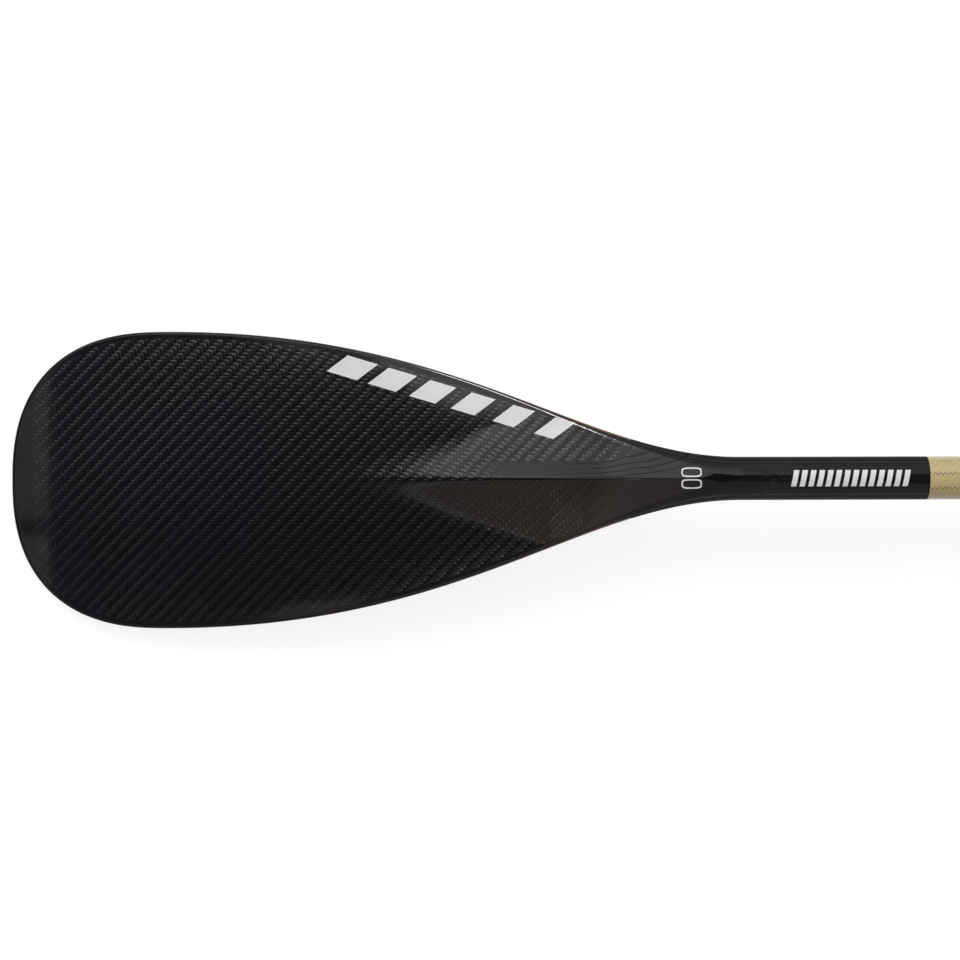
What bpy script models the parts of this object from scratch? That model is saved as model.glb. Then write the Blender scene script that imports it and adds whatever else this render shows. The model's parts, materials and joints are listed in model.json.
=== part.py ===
"""A stand-up paddle with a raked carbon blade and a shaft that telescopes.

Units are metres. Every piece is modelled in the paddle's own frame: X runs up the shaft
from the joint between the blade's neck and the shaft, Y runs across the blade, and Z points
out of the power face. The last step lays the paddle down, so that the blade's tip and the
grip touch the floor at Z = 0 and the origin is the middle of the floor area that it covers.
"""

import math

import bmesh
import bpy
import numpy as np
from mathutils import Matrix, Vector

# Blade outline. Its tip ends where the blade is widest, and handles pull the curve from there on
BLADE_LENGTH = 0.4515
BLADE_WIDTH = 0.183
TIP_LENGTH = 0.0955
TIP_POWER_ALONG = 2.44
TIP_POWER_ACROSS = 2.42
SHOULDER_HANDLE_LENGTH = 0.1904
THROAT_HANDLE_LENGTH = 0.0965

# Blade thickness. Every length here is measured from the tip
EDGE_THICKNESS = 0.0032
THIN_EDGE_LENGTH = 0.250
EDGE_GROWTH_POWER = 3.0
PLATE_THICKNESS = 0.0066
SKIN_THICKNESS = 0.0008
RAIL_WIDTH = 0.0042
RAIL_LENGTH = 0.385
RAIL_TAPER_LENGTH = 0.060
RAIL_END_WIDTH = 0.0008
RAIL_RUNOUT_LENGTH = 0.001

# Ridge of the power face and spine of the back face, which start where the flat of each ends
FLAT_FACE_LENGTH = 0.185
RIDGE_HALF_WIDTH = 0.003
RIDGE_SPREAD = 0.25
RIDGE_RISE_POWER = 1.55
RIDGE_HOLLOW = 1.7
FLAT_BACK_LENGTH = 0.200
SPINE_RISE_POWER = 1.9

# Neck: a bend that gives the blade its rake, then a round sleeve and a straight tube
BLADE_RAKE_DEG = 10.0
BEND_LENGTH = 0.080
BEND_TO_NECK_LENGTH = 0.020
SLEEVE_LENGTH = 0.025
TANG_LENGTH = 0.022
NECK_LENGTH = 0.0875
FERRULE_LENGTH = 0.140
FERRULE_WALL = 0.0015

# Lower shaft
SHAFT_DIAMETER = 0.026
SHAFT_WALL = 0.0016
SHAFT_LENGTH = 1.0545
SHAFT_SLOT_LENGTH = 0.038
BULKHEAD_LENGTH = 0.025

# Extension that telescopes inside the lower shaft, drawn right out
EXTENSION_WALL = 0.0015
EXTENSION_TRAVEL = 0.400
EXTENSION_OVERLAP = 0.110
GRIP_STANDOFF = 0.008
KEY_WIDTH = 0.0026
KEY_DEPTH = 0.0007
END_BUSH_LENGTH = 0.020
END_BUSH_FLANGE = 0.006
END_BUSH_WALL = 0.0020
END_PLUG_LENGTH = 0.030

# Clamp
COLLAR_LENGTH = 0.049
COLLAR_LIP = 0.009
COLLAR_WALL = 0.0043
SLIT_WIDTH = 0.0030
GUIDE_RING_LENGTH = 0.008
GUIDE_RING_WALL = 0.0034
EAR_LENGTH = 0.022
EAR_THICKNESS = 0.005
EAR_RISE = 0.0112
BOLT_DIAMETER = 0.005
BOLT_BELOW_EAR_TOP = 0.0055
SADDLE_THICKNESS = 0.0015
SADDLE_HEIGHT = 0.010
LEVER_WIDTH = 0.020
LEVER_SLOT_WIDTH = 0.0064
LEVER_THICKNESS = 0.0042
LEVER_SIDE_CLEARANCE = 0.0013
LEVER_WRAP_FROM_DEG = 152.0
LEVER_WRAP_TO_DEG = 244.0
LEVER_FLARE_DEG = 16.0
LEVER_FLARE = 0.0022
LEVER_ARC_POINTS = 15
CAM_RADIUS = 0.0066
CAM_THROW = 0.0009
BARREL_DIAMETER = 0.008
KNOB_DIAMETER = 0.014
KNOB_THICKNESS = 0.007
KNOB_FLUTES = 10
KNOB_FLUTE_DIAMETER = 0.0022
KNOB_CHAMFER = 0.0006
INSERT_DIAMETER = 0.009
WASHER_DIAMETER = 0.0105
WASHER_THICKNESS = 0.0010
BOLT_END_PROUD = 0.001

# Grip
GRIP_WIDTH = 0.112
GRIP_HEIGHT = 0.060
GRIP_BAR_DEPTH = 0.032
GRIP_THICKNESS = 0.032
GRIP_WALL = 0.0015
GRIP_CORE_BASE = 0.016
STEM_LENGTH = 0.078
STEM_INSERTED = 0.045
STEM_WALL = 0.0020
STEM_STEP = 0.0005
LAND_DEPTH = 0.0006

# Cage of the grip. It is larger than the grip, because rounding draws it in. Its column has one
# value for each ring, and its arm one for each ring from the middle of the bar to its end
CAGE_NECK_SWELL = 1.075
CAGE_BAR_SWELL = 1.16
CAGE_COLUMN_RISE = (0.42, 0.90)
CAGE_COLUMN_WIDTH = (1.0, 1.12, 1.25)
CAGE_TOP_SWELL = 1.03
CAGE_ARM_REACH = (0.30, 0.46, 0.505)
CAGE_ARM_LOW = (1.10, 1.16, 1.34)
CAGE_ARM_HIGH = (1.02, 0.99, 0.90)
CAGE_ARM_THICKNESS = (0.95, 0.80, 0.55)

# Clearances
BOND_GAP = 0.0003
HOLE_CLEARANCE = 0.0004

# Facets
ROUND_STEPS = 32
SMALL_STEPS = 20
FLUTE_STEPS = 8
TIP_ROWS = 14
FLANK_ROWS = 20
THROAT_ROWS = 10
BLADE_COLUMNS = 16
CORE_COLUMNS = 10
RAIL_SHARES = (0.0, 0.12, 0.5, 1.0)
GRIP_LEVELS = 2
OUTLINE_SAMPLES = 1600
SHARP_ANGLE_DEG = 35.0

SLEEVE_END = BLADE_LENGTH + SLEEVE_LENGTH
SHAFT_RADIUS = SHAFT_DIAMETER / 2
BORE_RADIUS = SHAFT_RADIUS - SHAFT_WALL
EXTENSION_RADIUS = BORE_RADIUS - BOND_GAP
EXTENSION_BORE = EXTENSION_RADIUS - EXTENSION_WALL
COLLAR_BORE = SHAFT_RADIUS + BOND_GAP
COLLAR_RADIUS = COLLAR_BORE + COLLAR_WALL
COLLAR_END = SHAFT_LENGTH + COLLAR_LIP
GRIP_FACE = COLLAR_END + GRIP_STANDOFF + EXTENSION_TRAVEL
EAR_MIDDLE = COLLAR_END - COLLAR_LENGTH / 2
EAR_SIDE = SLIT_WIDTH / 2 + EAR_THICKNESS
EAR_TOP = COLLAR_RADIUS + EAR_RISE
BOLT_HEIGHT = EAR_TOP - BOLT_BELOW_EAR_TOP
SADDLE_FACE = EAR_SIDE + BOND_GAP + SADDLE_THICKNESS
CAM_REACH = CAM_RADIUS + CAM_THROW
PIVOT_SIDE = SADDLE_FACE + BOND_GAP + CAM_REACH
KNOB_FACE = EAR_SIDE + WASHER_THICKNESS + 2 * BOND_GAP

ENDS = ("edge_rail", "grip_upper_shell", "grip_lower_shell")
X_AXIS = Vector((1, 0, 0))
Y_AXIS = Vector((0, 1, 0))


def ease(share):
    """Smooth step from 0 to 1."""
    share = min(1.0, max(0.0, share))
    return share * share * (3 - 2 * share)


def bezier(points, samples):
    """Points along one cubic Bezier curve."""
    t = np.linspace(0, 1, samples)[:, None]
    a, b, c, d = (np.array(p, float) for p in points)
    return (1 - t) ** 3 * a + 3 * (1 - t) ** 2 * t * b + 3 * (1 - t) * t**2 * c + t**3 * d


# Blade shape
def outline_curve():
    """The blade's edge as (distance from tip, half width): a superellipse tip, then one Bezier."""
    half = BLADE_WIDTH / 2
    share = np.linspace(0, 1, OUTLINE_SAMPLES) ** 3
    across = (1 - (1 - share) ** TIP_POWER_ALONG) ** (1 / TIP_POWER_ACROSS)
    tip = np.stack([share * TIP_LENGTH, across * half], axis=1)
    flank = bezier(
        [
            (TIP_LENGTH, half),
            (TIP_LENGTH + SHOULDER_HANDLE_LENGTH, half),
            (BLADE_LENGTH - THROAT_HANDLE_LENGTH, SHAFT_RADIUS),
            (BLADE_LENGTH, SHAFT_RADIUS),
        ],
        OUTLINE_SAMPLES,
    )
    return np.concatenate([tip, flank[1:]])


OUTLINE = outline_curve()


def inset_outline(distance):
    """The outline moved inwards, by a distance that may change along the blade."""
    along, half = OUTLINE[:, 0], OUTLINE[:, 1]
    d_along, d_half = np.gradient(along), np.gradient(half)
    length = np.hypot(d_along, d_half)
    moved = np.array([distance(s) for s in along])
    return np.stack([along + moved * d_half / length, half - moved * d_along / length], axis=1)


def width_at(curve, s):
    """Half width of an outline at a distance from the tip."""
    return float(np.interp(s, curve[:, 0], curve[:, 1]))


def rail_width(s):
    """Width of the rail, which narrows towards its two ends."""
    share = ease((RAIL_LENGTH - s) / RAIL_TAPER_LENGTH)
    return RAIL_END_WIDTH + (RAIL_WIDTH - RAIL_END_WIDTH) * share


def rail_room(s):
    """How far the skins and the core stay back from the outline to make room for the rail."""
    beyond = (s - RAIL_LENGTH) / RAIL_RUNOUT_LENGTH
    return (rail_width(s) + BOND_GAP) * min(1.0, max(0.0, 1 - beyond))


def run_from(start, s):
    """Share of the way from a place on the blade to its round neck."""
    return min(1.0, max(0.0, (s - start) / (BLADE_LENGTH - start)))


def edge_height(s):
    """Half the thickness of the blade's edge, and the radius that rounds it."""
    thin = EDGE_THICKNESS / 2
    return thin + (SHAFT_RADIUS - thin) * run_from(THIN_EDGE_LENGTH, s) ** EDGE_GROWTH_POWER


def plate_height(s, y):
    """Half the thickness of the blade without its ridge and spine."""
    edge = edge_height(s)
    centre = max(edge, PLATE_THICKNESS / 2)
    ahead = max(0.0, 1 - s / TIP_LENGTH) ** TIP_POWER_ALONG
    reach = BLADE_WIDTH / 2 if ahead > 0 else width_at(OUTLINE, s)
    aside = min(1.0, abs(y) / reach) ** TIP_POWER_ACROSS
    return edge + (centre - edge) * (1 - min(1.0, ahead + aside))


def roof_height(s, y, power_face):
    """Height of one face over the middle plane, before its edge is rounded."""
    start, power = FLAT_BACK_LENGTH, SPINE_RISE_POWER
    if power_face:
        start, power = FLAT_FACE_LENGTH, RIDGE_RISE_POWER
    run = run_from(start, s)
    low = PLATE_THICKNESS / 2
    crest = low + (SHAFT_RADIUS - low) * run**power
    rise = max(0.0, crest - max(low, edge_height(s)))
    if rise == 0:
        return plate_height(s, y)
    spread = RIDGE_HALF_WIDTH + RIDGE_SPREAD * (s - start)
    share = min(1.0, abs(y) / min(spread, width_at(OUTLINE, s)))
    if power_face:
        bump = (1 - share) ** (RIDGE_HOLLOW + (1 - RIDGE_HOLLOW) * run)
    else:
        bump = (1 + math.cos(math.pi * share)) / 2
    return plate_height(s, y) + rise * bump


def section_height(s, y, inset, power_face):
    """Height of one face over the middle plane, with that much taken off all round."""
    half = width_at(OUTLINE, s) - inset
    edge = edge_height(s) - inset
    past = min(1.0, max(0.0, (abs(y) - (half - edge)) / edge))
    return (roof_height(s, y, power_face) - inset) * math.sqrt(1 - past**2)


def on_blade(s, y, height):
    """The point at a distance from the tip, across the blade and above its middle plane."""
    behind = SLEEVE_END - s
    straight_length = SLEEVE_LENGTH + BEND_TO_NECK_LENGTH
    bend_radius = BEND_LENGTH / math.radians(BLADE_RAKE_DEG)
    straight = min(behind, straight_length)
    angle = min(BEND_LENGTH, max(0.0, behind - straight_length)) / bend_radius
    beyond = max(0.0, behind - straight_length - BEND_LENGTH)
    x = -NECK_LENGTH - straight - bend_radius * math.sin(angle) - beyond * math.cos(angle)
    z = -bend_radius * (1 - math.cos(angle)) - beyond * math.sin(angle)
    return Vector((x - height * math.sin(angle), y, z + height * math.cos(angle)))


def row_places(first):
    """Distances from the tip, close together near it and even on both sides of the rail's end."""
    reach = TIP_LENGTH - first
    tip = [first + reach * (row / TIP_ROWS) ** 2 for row in range(TIP_ROWS)]
    flank = np.linspace(TIP_LENGTH, RAIL_LENGTH, FLANK_ROWS + 1)
    throat = np.linspace(RAIL_LENGTH + RAIL_RUNOUT_LENGTH, SLEEVE_END, THROAT_ROWS + 1)
    return [*tip, *flank, *throat]


def doubled_sheet(rows, columns):
    """Two flat grids joined at their rims, with the vertices of the upper one.

    Each vertex carries its row in X and its column in Y, from -1 to 1.
    """
    bm = bmesh.new()
    bmesh.ops.create_grid(bm, x_segments=rows, y_segments=columns, size=1)
    made = bmesh.ops.extrude_face_region(bm, geom=bm.faces[:], use_keep_orig=True)
    return bm, {v for v in made["geom"] if isinstance(v, bmesh.types.BMVert)}


def between_faces(places, columns, lower, upper):
    """A closed body between two faces. Each face has its outline and its height function."""
    rows = len(places) - 1
    bm, raised = doubled_sheet(rows, columns)
    for vert in bm.verts:
        s = places[round((vert.co.x + 1) / 2 * rows)]
        outline, height = upper if vert in raised else lower
        y = math.sin(vert.co.y * math.pi / 2) * width_at(outline, s)
        vert.co = on_blade(s, y, height(s, y))
    return closed(bm)


def closed(bm):
    """Merges the vertices that met and turns every face outwards."""
    bmesh.ops.remove_doubles(bm, verts=bm.verts, dist=1e-6)
    bmesh.ops.dissolve_degenerate(bm, edges=bm.edges, dist=1e-6)
    bmesh.ops.recalc_face_normals(bm, faces=bm.faces)
    return bm


# Objects and materials
def material(name, colour, roughness, metallic=0.0):
    made = bpy.data.materials.new(name)
    made.use_nodes = True
    shader = made.node_tree.nodes["Principled BSDF"]
    shader.inputs["Base Color"].default_value = (*colour, 1)
    shader.inputs["Roughness"].default_value = roughness
    shader.inputs["Metallic"].default_value = metallic
    return made


def empty(name, parent, place):
    """An empty that a moving piece hangs on, with its origin on the joint's axis."""
    made = bpy.data.objects.new(name, None)
    bpy.context.scene.collection.objects.link(made)
    made.parent = parent
    made.location = place
    return made


def add_object(name, bm, finish, parent):
    mesh = bpy.data.meshes.new(name)
    bm.to_mesh(mesh)
    bm.free()
    mesh.materials.append(finish)
    mesh.shade_smooth()
    mesh.set_sharp_from_angle(angle=math.radians(SHARP_ANGLE_DEG))
    made = bpy.data.objects.new(name, mesh)
    bpy.context.scene.collection.objects.link(made)
    made.parent = parent
    return made


def turned(profile, steps=ROUND_STEPS):
    """A body turned about the X axis from (x, radius) points, closed or ending on the axis."""
    bm = bmesh.new()
    verts = [bm.verts.new((x, 0, radius)) for x, radius in profile]
    on_axis = profile[0][1] == 0 and profile[-1][1] == 0
    pairs = list(zip(verts, verts[1:]))
    if not on_axis:
        pairs.append((verts[-1], verts[0]))
    edges = [bm.edges.new(pair) for pair in pairs]
    bmesh.ops.spin(
        bm,
        geom=verts + edges,
        cent=(0, 0, 0),
        axis=X_AXIS,
        angle=2 * math.pi,
        steps=steps,
        use_merge=True,
    )
    bmesh.ops.remove_doubles(bm, verts=bm.verts, dist=1e-6)
    bmesh.ops.recalc_face_normals(bm, faces=bm.faces)
    return bm


def tube_profile(start, end, inner, outer):
    return [(start, inner), (end, inner), (end, outer), (start, outer)]


def rod_profile(start, end, radius):
    return [(start, 0), (start, radius), (end, radius), (end, 0)]


def facing(bm, direction, place=(0, 0, 0)):
    """Turns a body made along X to lie along another direction, and moves it to its place."""
    turn = X_AXIS.rotation_difference(Vector(direction)).to_matrix().to_4x4()
    bmesh.ops.transform(bm, matrix=Matrix.Translation(place) @ turn, verts=bm.verts)
    return bm


def box(low, high):
    bm = bmesh.new()
    bmesh.ops.create_cube(bm, size=1)
    low, high = Vector(low), Vector(high)
    bmesh.ops.scale(bm, vec=high - low, verts=bm.verts)
    bmesh.ops.translate(bm, vec=(low + high) / 2, verts=bm.verts)
    return bm


def combine(target, tool_name, bm, operation):
    """Adds a Boolean modifier with a hidden tool object."""
    tool = bpy.data.objects.new(tool_name, bpy.data.meshes.new(tool_name))
    bm.to_mesh(tool.data)
    bm.free()
    bpy.context.scene.collection.objects.link(tool)
    tool.parent = target.parent
    tool.hide_render = True
    tool.display_type = "WIRE"
    modifier = target.modifiers.new(tool_name, "BOOLEAN")
    modifier.operation = operation
    modifier.object = tool


# Blade
def build_blade(finish, parent):
    outer_edge = inset_outline(rail_room)
    inner_edge = inset_outline(lambda s: max(SKIN_THICKNESS, rail_room(s)))
    core_inset = SKIN_THICKNESS + BOND_GAP
    core_edge = inset_outline(lambda s: max(core_inset, rail_room(s)))
    first = float(outer_edge[0, 0])

    def face(inset, power_face, least):
        sign = 1 if power_face else -1
        return lambda s, y: sign * max(least, section_height(s, y, inset, power_face))

    places = row_places(first)
    for name, power_face in (("power_face_skin", True), ("back_face_skin", False)):
        inner = (inner_edge, face(SKIN_THICKNESS, power_face, BOND_GAP / 2))
        outer = (outer_edge, face(0, power_face, BOND_GAP / 2))
        bm = between_faces(places, BLADE_COLUMNS, inner, outer)
        add_object(name, bm, finish["carbon"], parent)

    below = (core_edge, face(core_inset, False, 0))
    above = (core_edge, face(core_inset, True, 0))
    core_end = SLEEVE_END - TANG_LENGTH - BOND_GAP
    core_places = [s for s in places if s < core_end] + [core_end]
    bm = between_faces(core_places, CORE_COLUMNS, below, above)
    add_object("blade_core", bm, finish["foam"], parent)
    build_rail(places, outer_edge, finish, parent)


def build_rail(places, skin_edge, finish, parent):
    """The hard strip round the blade's edge, from one side of the throat round the tip.

    Its rows stand square to the rows of the skins, so that the gap between them stays even.
    """
    inner_curve = inset_outline(rail_width)
    index = np.arange(len(OUTLINE))
    rows = [np.interp(s, skin_edge[:, 0], index) for s in places if s <= RAIL_LENGTH]
    last = len(rows) - 1
    bm, raised = doubled_sheet(2 * last, len(RAIL_SHARES) - 1)
    for vert in bm.verts:
        side = 1 if vert.co.x > 0 else -1
        row = rows[round(abs(vert.co.x) * last)]
        outer, inner = (
            np.array([np.interp(row, index, curve[:, axis]) for axis in (0, 1)])
            for curve in (OUTLINE, inner_curve)
        )
        share = RAIL_SHARES[round((vert.co.y + 1) / 2 * (len(RAIL_SHARES) - 1))]
        s, half = outer * (1 - share) + inner * share
        deep = min(1.0, np.linalg.norm(inner - outer) * share / edge_height(s))
        rounding = math.sqrt(1 - (1 - deep) ** 2)
        height = rounding * roof_height(s, half, vert in raised)
        vert.co = on_blade(s, side * half, height if vert in raised else -height)
    add_object("edge_rail", closed(bm), finish["rail"], parent)


# Neck and shaft
def build_shaft(finish, parent):
    tang_radius = SHAFT_RADIUS - SKIN_THICKNESS - BOND_GAP
    tang_bore = BORE_RADIUS - SKIN_THICKNESS - BOND_GAP
    neck = [
        (-NECK_LENGTH - TANG_LENGTH, tang_bore),
        (-NECK_LENGTH, tang_bore),
        (-NECK_LENGTH + SHAFT_WALL, BORE_RADIUS),
        (0, BORE_RADIUS),
        (0, SHAFT_RADIUS),
        (-NECK_LENGTH + BOND_GAP, SHAFT_RADIUS),
        (-NECK_LENGTH + BOND_GAP, tang_radius),
        (-NECK_LENGTH - TANG_LENGTH, tang_radius),
    ]
    add_object("neck_tube", turned(neck), finish["neck"], parent)

    ferrule_radius = BORE_RADIUS - BOND_GAP
    half = FERRULE_LENGTH / 2
    profile = tube_profile(-half, half, ferrule_radius - FERRULE_WALL, ferrule_radius)
    add_object("neck_ferrule", turned(profile), finish["neck"], parent)

    profile = rod_profile(half + BOND_GAP, half + BOND_GAP + BULKHEAD_LENGTH, ferrule_radius)
    add_object("shaft_bulkhead", turned(profile), finish["foam"], parent)

    profile = tube_profile(BOND_GAP, SHAFT_LENGTH, BORE_RADIUS, SHAFT_RADIUS)
    shaft = add_object("shaft_tube", turned(profile), finish["aramid"], parent)
    slot = box(
        (SHAFT_LENGTH - SHAFT_SLOT_LENGTH, -SLIT_WIDTH / 2, 0),
        (SHAFT_LENGTH + COLLAR_LIP, SLIT_WIDTH / 2, SHAFT_DIAMETER),
    )
    combine(shaft, "shaft_slot_cutter", slot, "DIFFERENCE")


# Clamp
def build_collar(finish, parent):
    start = COLLAR_END - COLLAR_LENGTH
    seat = SHAFT_LENGTH + BOND_GAP
    ring_bore = BORE_RADIUS + GUIDE_RING_WALL + BOND_GAP
    profile = [
        (start, COLLAR_BORE),
        (seat, COLLAR_BORE),
        (seat, ring_bore),
        (COLLAR_END, ring_bore),
        (COLLAR_END, COLLAR_RADIUS),
        (start, COLLAR_RADIUS),
    ]
    collar = add_object("clamp_collar", turned(profile), finish["nylon"], parent)
    ears = box(
        (EAR_MIDDLE - EAR_LENGTH / 2, -EAR_SIDE, COLLAR_BORE + COLLAR_WALL / 2),
        (EAR_MIDDLE + EAR_LENGTH / 2, EAR_SIDE, EAR_TOP),
    )
    combine(collar, "ear_block", ears, "UNION")
    slit = box(
        (start - COLLAR_LIP, -SLIT_WIDTH / 2, 0),
        (COLLAR_END + COLLAR_LIP, SLIT_WIDTH / 2, EAR_TOP + COLLAR_LIP),
    )
    combine(collar, "slit_cutter", slit, "DIFFERENCE")
    reach = 2 * EAR_SIDE
    hole = turned(rod_profile(-reach, reach, BOLT_DIAMETER / 2 + HOLE_CLEARANCE), SMALL_STEPS)
    facing(hole, Y_AXIS, (EAR_MIDDLE, 0, BOLT_HEIGHT))
    combine(collar, "bolt_hole_cutter", hole, "DIFFERENCE")

    ring_start = SHAFT_LENGTH + BOND_GAP
    ring_end = ring_start + GUIDE_RING_LENGTH
    outer = BORE_RADIUS + GUIDE_RING_WALL
    ring = turned(tube_profile(ring_start, ring_end, BORE_RADIUS, outer))
    ring = add_object("guide_ring", ring, finish["acetal"], parent)
    key = box(
        (ring_start, -KEY_WIDTH / 2, -BORE_RADIUS - GUIDE_RING_WALL / 2),
        (ring_end, KEY_WIDTH / 2, -EXTENSION_RADIUS + KEY_DEPTH),
    )
    combine(ring, "key_block", key, "UNION")
    slit = box(
        (ring_start - COLLAR_LIP, -SLIT_WIDTH / 2, 0),
        (ring_end + COLLAR_LIP, SLIT_WIDTH / 2, COLLAR_RADIUS),
    )
    combine(ring, "ring_slit_cutter", slit, "DIFFERENCE")


def build_clamp_hardware(finish, parent):
    hole_radius = BOLT_DIAMETER / 2 + HOLE_CLEARANCE
    place = (EAR_MIDDLE, 0, BOLT_HEIGHT)

    saddle = box(
        (EAR_MIDDLE - LEVER_WIDTH / 2, -SADDLE_FACE, BOLT_HEIGHT - SADDLE_HEIGHT / 2),
        (EAR_MIDDLE + LEVER_WIDTH / 2, -EAR_SIDE - BOND_GAP, BOLT_HEIGHT + SADDLE_HEIGHT / 2),
    )
    saddle = add_object("cam_saddle", saddle, finish["steel"], parent)
    hole = facing(turned(rod_profile(-PIVOT_SIDE, 0, hole_radius), SMALL_STEPS), Y_AXIS, place)
    combine(saddle, "saddle_hole_cutter", hole, "DIFFERENCE")

    barrel_radius = BARREL_DIAMETER / 2
    barrel = turned(rod_profile(-LEVER_WIDTH / 2, LEVER_WIDTH / 2, barrel_radius), SMALL_STEPS)
    barrel = facing(barrel, X_AXIS, (EAR_MIDDLE, -PIVOT_SIDE, BOLT_HEIGHT))
    barrel = add_object("lever_barrel", barrel, finish["steel"], parent)
    reach = BARREL_DIAMETER
    hole = turned(rod_profile(-reach, reach, BOLT_DIAMETER / 2 + BOND_GAP), SMALL_STEPS)
    facing(hole, Y_AXIS, (EAR_MIDDLE, -PIVOT_SIDE, BOLT_HEIGHT))
    combine(barrel, "barrel_hole_cutter", hole, "DIFFERENCE")

    bolt_start = -PIVOT_SIDE - barrel_radius - BOLT_END_PROUD
    bolt_end = KNOB_FACE + KNOB_THICKNESS + BOLT_END_PROUD
    bolt = turned(rod_profile(bolt_start, bolt_end, BOLT_DIAMETER / 2), SMALL_STEPS)
    add_object("tension_bolt", facing(bolt, Y_AXIS, place), finish["steel"], parent)

    start = EAR_SIDE + BOND_GAP
    profile = tube_profile(start, start + WASHER_THICKNESS, hole_radius, WASHER_DIAMETER / 2)
    washer = facing(turned(profile, SMALL_STEPS), Y_AXIS, place)
    add_object("knob_washer", washer, finish["steel"], parent)


def build_knob(finish, parent):
    """The fluted knob turns about the bolt. Its meshes are placed from the middle of its face."""
    centre = empty("knob_pivot", parent, (EAR_MIDDLE, KNOB_FACE, BOLT_HEIGHT))
    insert_radius = INSERT_DIAMETER / 2
    profile = tube_profile(0, KNOB_THICKNESS, BOLT_DIAMETER / 2 + BOND_GAP, insert_radius)
    insert = facing(turned(profile, SMALL_STEPS), Y_AXIS)
    add_object("knob_insert", insert, finish["brass"], centre)

    knob_radius = KNOB_DIAMETER / 2
    profile = [
        (0, insert_radius + BOND_GAP),
        (KNOB_THICKNESS, insert_radius + BOND_GAP),
        (KNOB_THICKNESS, knob_radius - KNOB_CHAMFER),
        (KNOB_THICKNESS - KNOB_CHAMFER, knob_radius),
        (KNOB_CHAMFER, knob_radius),
        (0, knob_radius - KNOB_CHAMFER),
    ]
    bm = turned(profile, FLUTE_STEPS * KNOB_FLUTES)
    flute_radius = KNOB_FLUTE_DIAMETER / 2
    pitch = 2 * math.pi / KNOB_FLUTES
    for vert in bm.verts:
        radius = math.hypot(vert.co.y, vert.co.z)
        turn = math.atan2(vert.co.y, vert.co.z) % pitch
        aside = (turn - pitch / 2) * knob_radius
        floor = knob_radius - math.sqrt(max(0.0, flute_radius**2 - aside**2))
        drawn_in = min(radius, floor) / radius
        vert.co = Vector((vert.co.x, vert.co.y * drawn_in, vert.co.z * drawn_in))
    add_object("tension_knob", facing(bm, Y_AXIS), finish["knob"], centre)



def lever_arm():
    """The curved arm that wraps round the collar and flares at its end, pulled along X."""
    inside, outside = [], []
    for angle in np.linspace(LEVER_WRAP_FROM_DEG, LEVER_WRAP_TO_DEG, LEVER_ARC_POINTS):
        flare = ease((angle - LEVER_WRAP_TO_DEG + LEVER_FLARE_DEG) / LEVER_FLARE_DEG)
        way = np.array([math.cos(math.radians(angle)), math.sin(math.radians(angle))])
        inner = COLLAR_RADIUS + LEVER_SIDE_CLEARANCE + LEVER_FLARE * flare
        inside.append(way * inner)
        outside.append(way * (inner + LEVER_THICKNESS))
    root_inner = (-PIVOT_SIDE + CAM_RADIUS / 3, BOLT_HEIGHT)
    root_outer = (-PIVOT_SIDE - CAM_RADIUS + CAM_THROW, BOLT_HEIGHT)
    loop = [root_inner, *inside, *outside[::-1], root_outer]
    bm = bmesh.new()
    verts = [bm.verts.new((-LEVER_WIDTH / 2, y, z)) for y, z in loop]
    face = bm.faces.new(verts)
    pulled = bmesh.ops.extrude_face_region(bm, geom=[face])
    moved = [v for v in pulled["geom"] if isinstance(v, bmesh.types.BMVert)]
    bmesh.ops.translate(bm, vec=(LEVER_WIDTH, 0, 0), verts=moved)
    bmesh.ops.translate(bm, vec=(EAR_MIDDLE, 0, 0), verts=bm.verts)
    bmesh.ops.recalc_face_normals(bm, faces=bm.faces)
    return bm


def build_lever(finish, parent):
    """The cam lever turns about the barrel. Its mesh is placed from the pivot, its own origin."""
    hinge = empty("lever_pivot", parent, (EAR_MIDDLE, -PIVOT_SIDE, BOLT_HEIGHT))
    arm = lever_arm()
    bmesh.ops.translate(arm, vec=-hinge.location, verts=arm.verts)
    lever = add_object("cam_lever", arm, finish["lever"], hinge)
    half = LEVER_WIDTH / 2
    cam = turned(rod_profile(-half, half, CAM_RADIUS))
    bmesh.ops.translate(cam, vec=(0, CAM_THROW, 0), verts=cam.verts)
    combine(lever, "cam_boss", cam, "UNION")
    bore = turned(rod_profile(-LEVER_WIDTH, LEVER_WIDTH, BARREL_DIAMETER / 2 + BOND_GAP))
    combine(lever, "barrel_bore_cutter", bore, "DIFFERENCE")
    slot = box(
        (-LEVER_SLOT_WIDTH / 2, -2 * CAM_RADIUS, -CAM_RADIUS - BOLT_DIAMETER / 2),
        (LEVER_SLOT_WIDTH / 2, 2 * CAM_RADIUS, 2 * CAM_RADIUS),
    )
    combine(lever, "lever_slot_cutter", slot, "DIFFERENCE")


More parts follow.
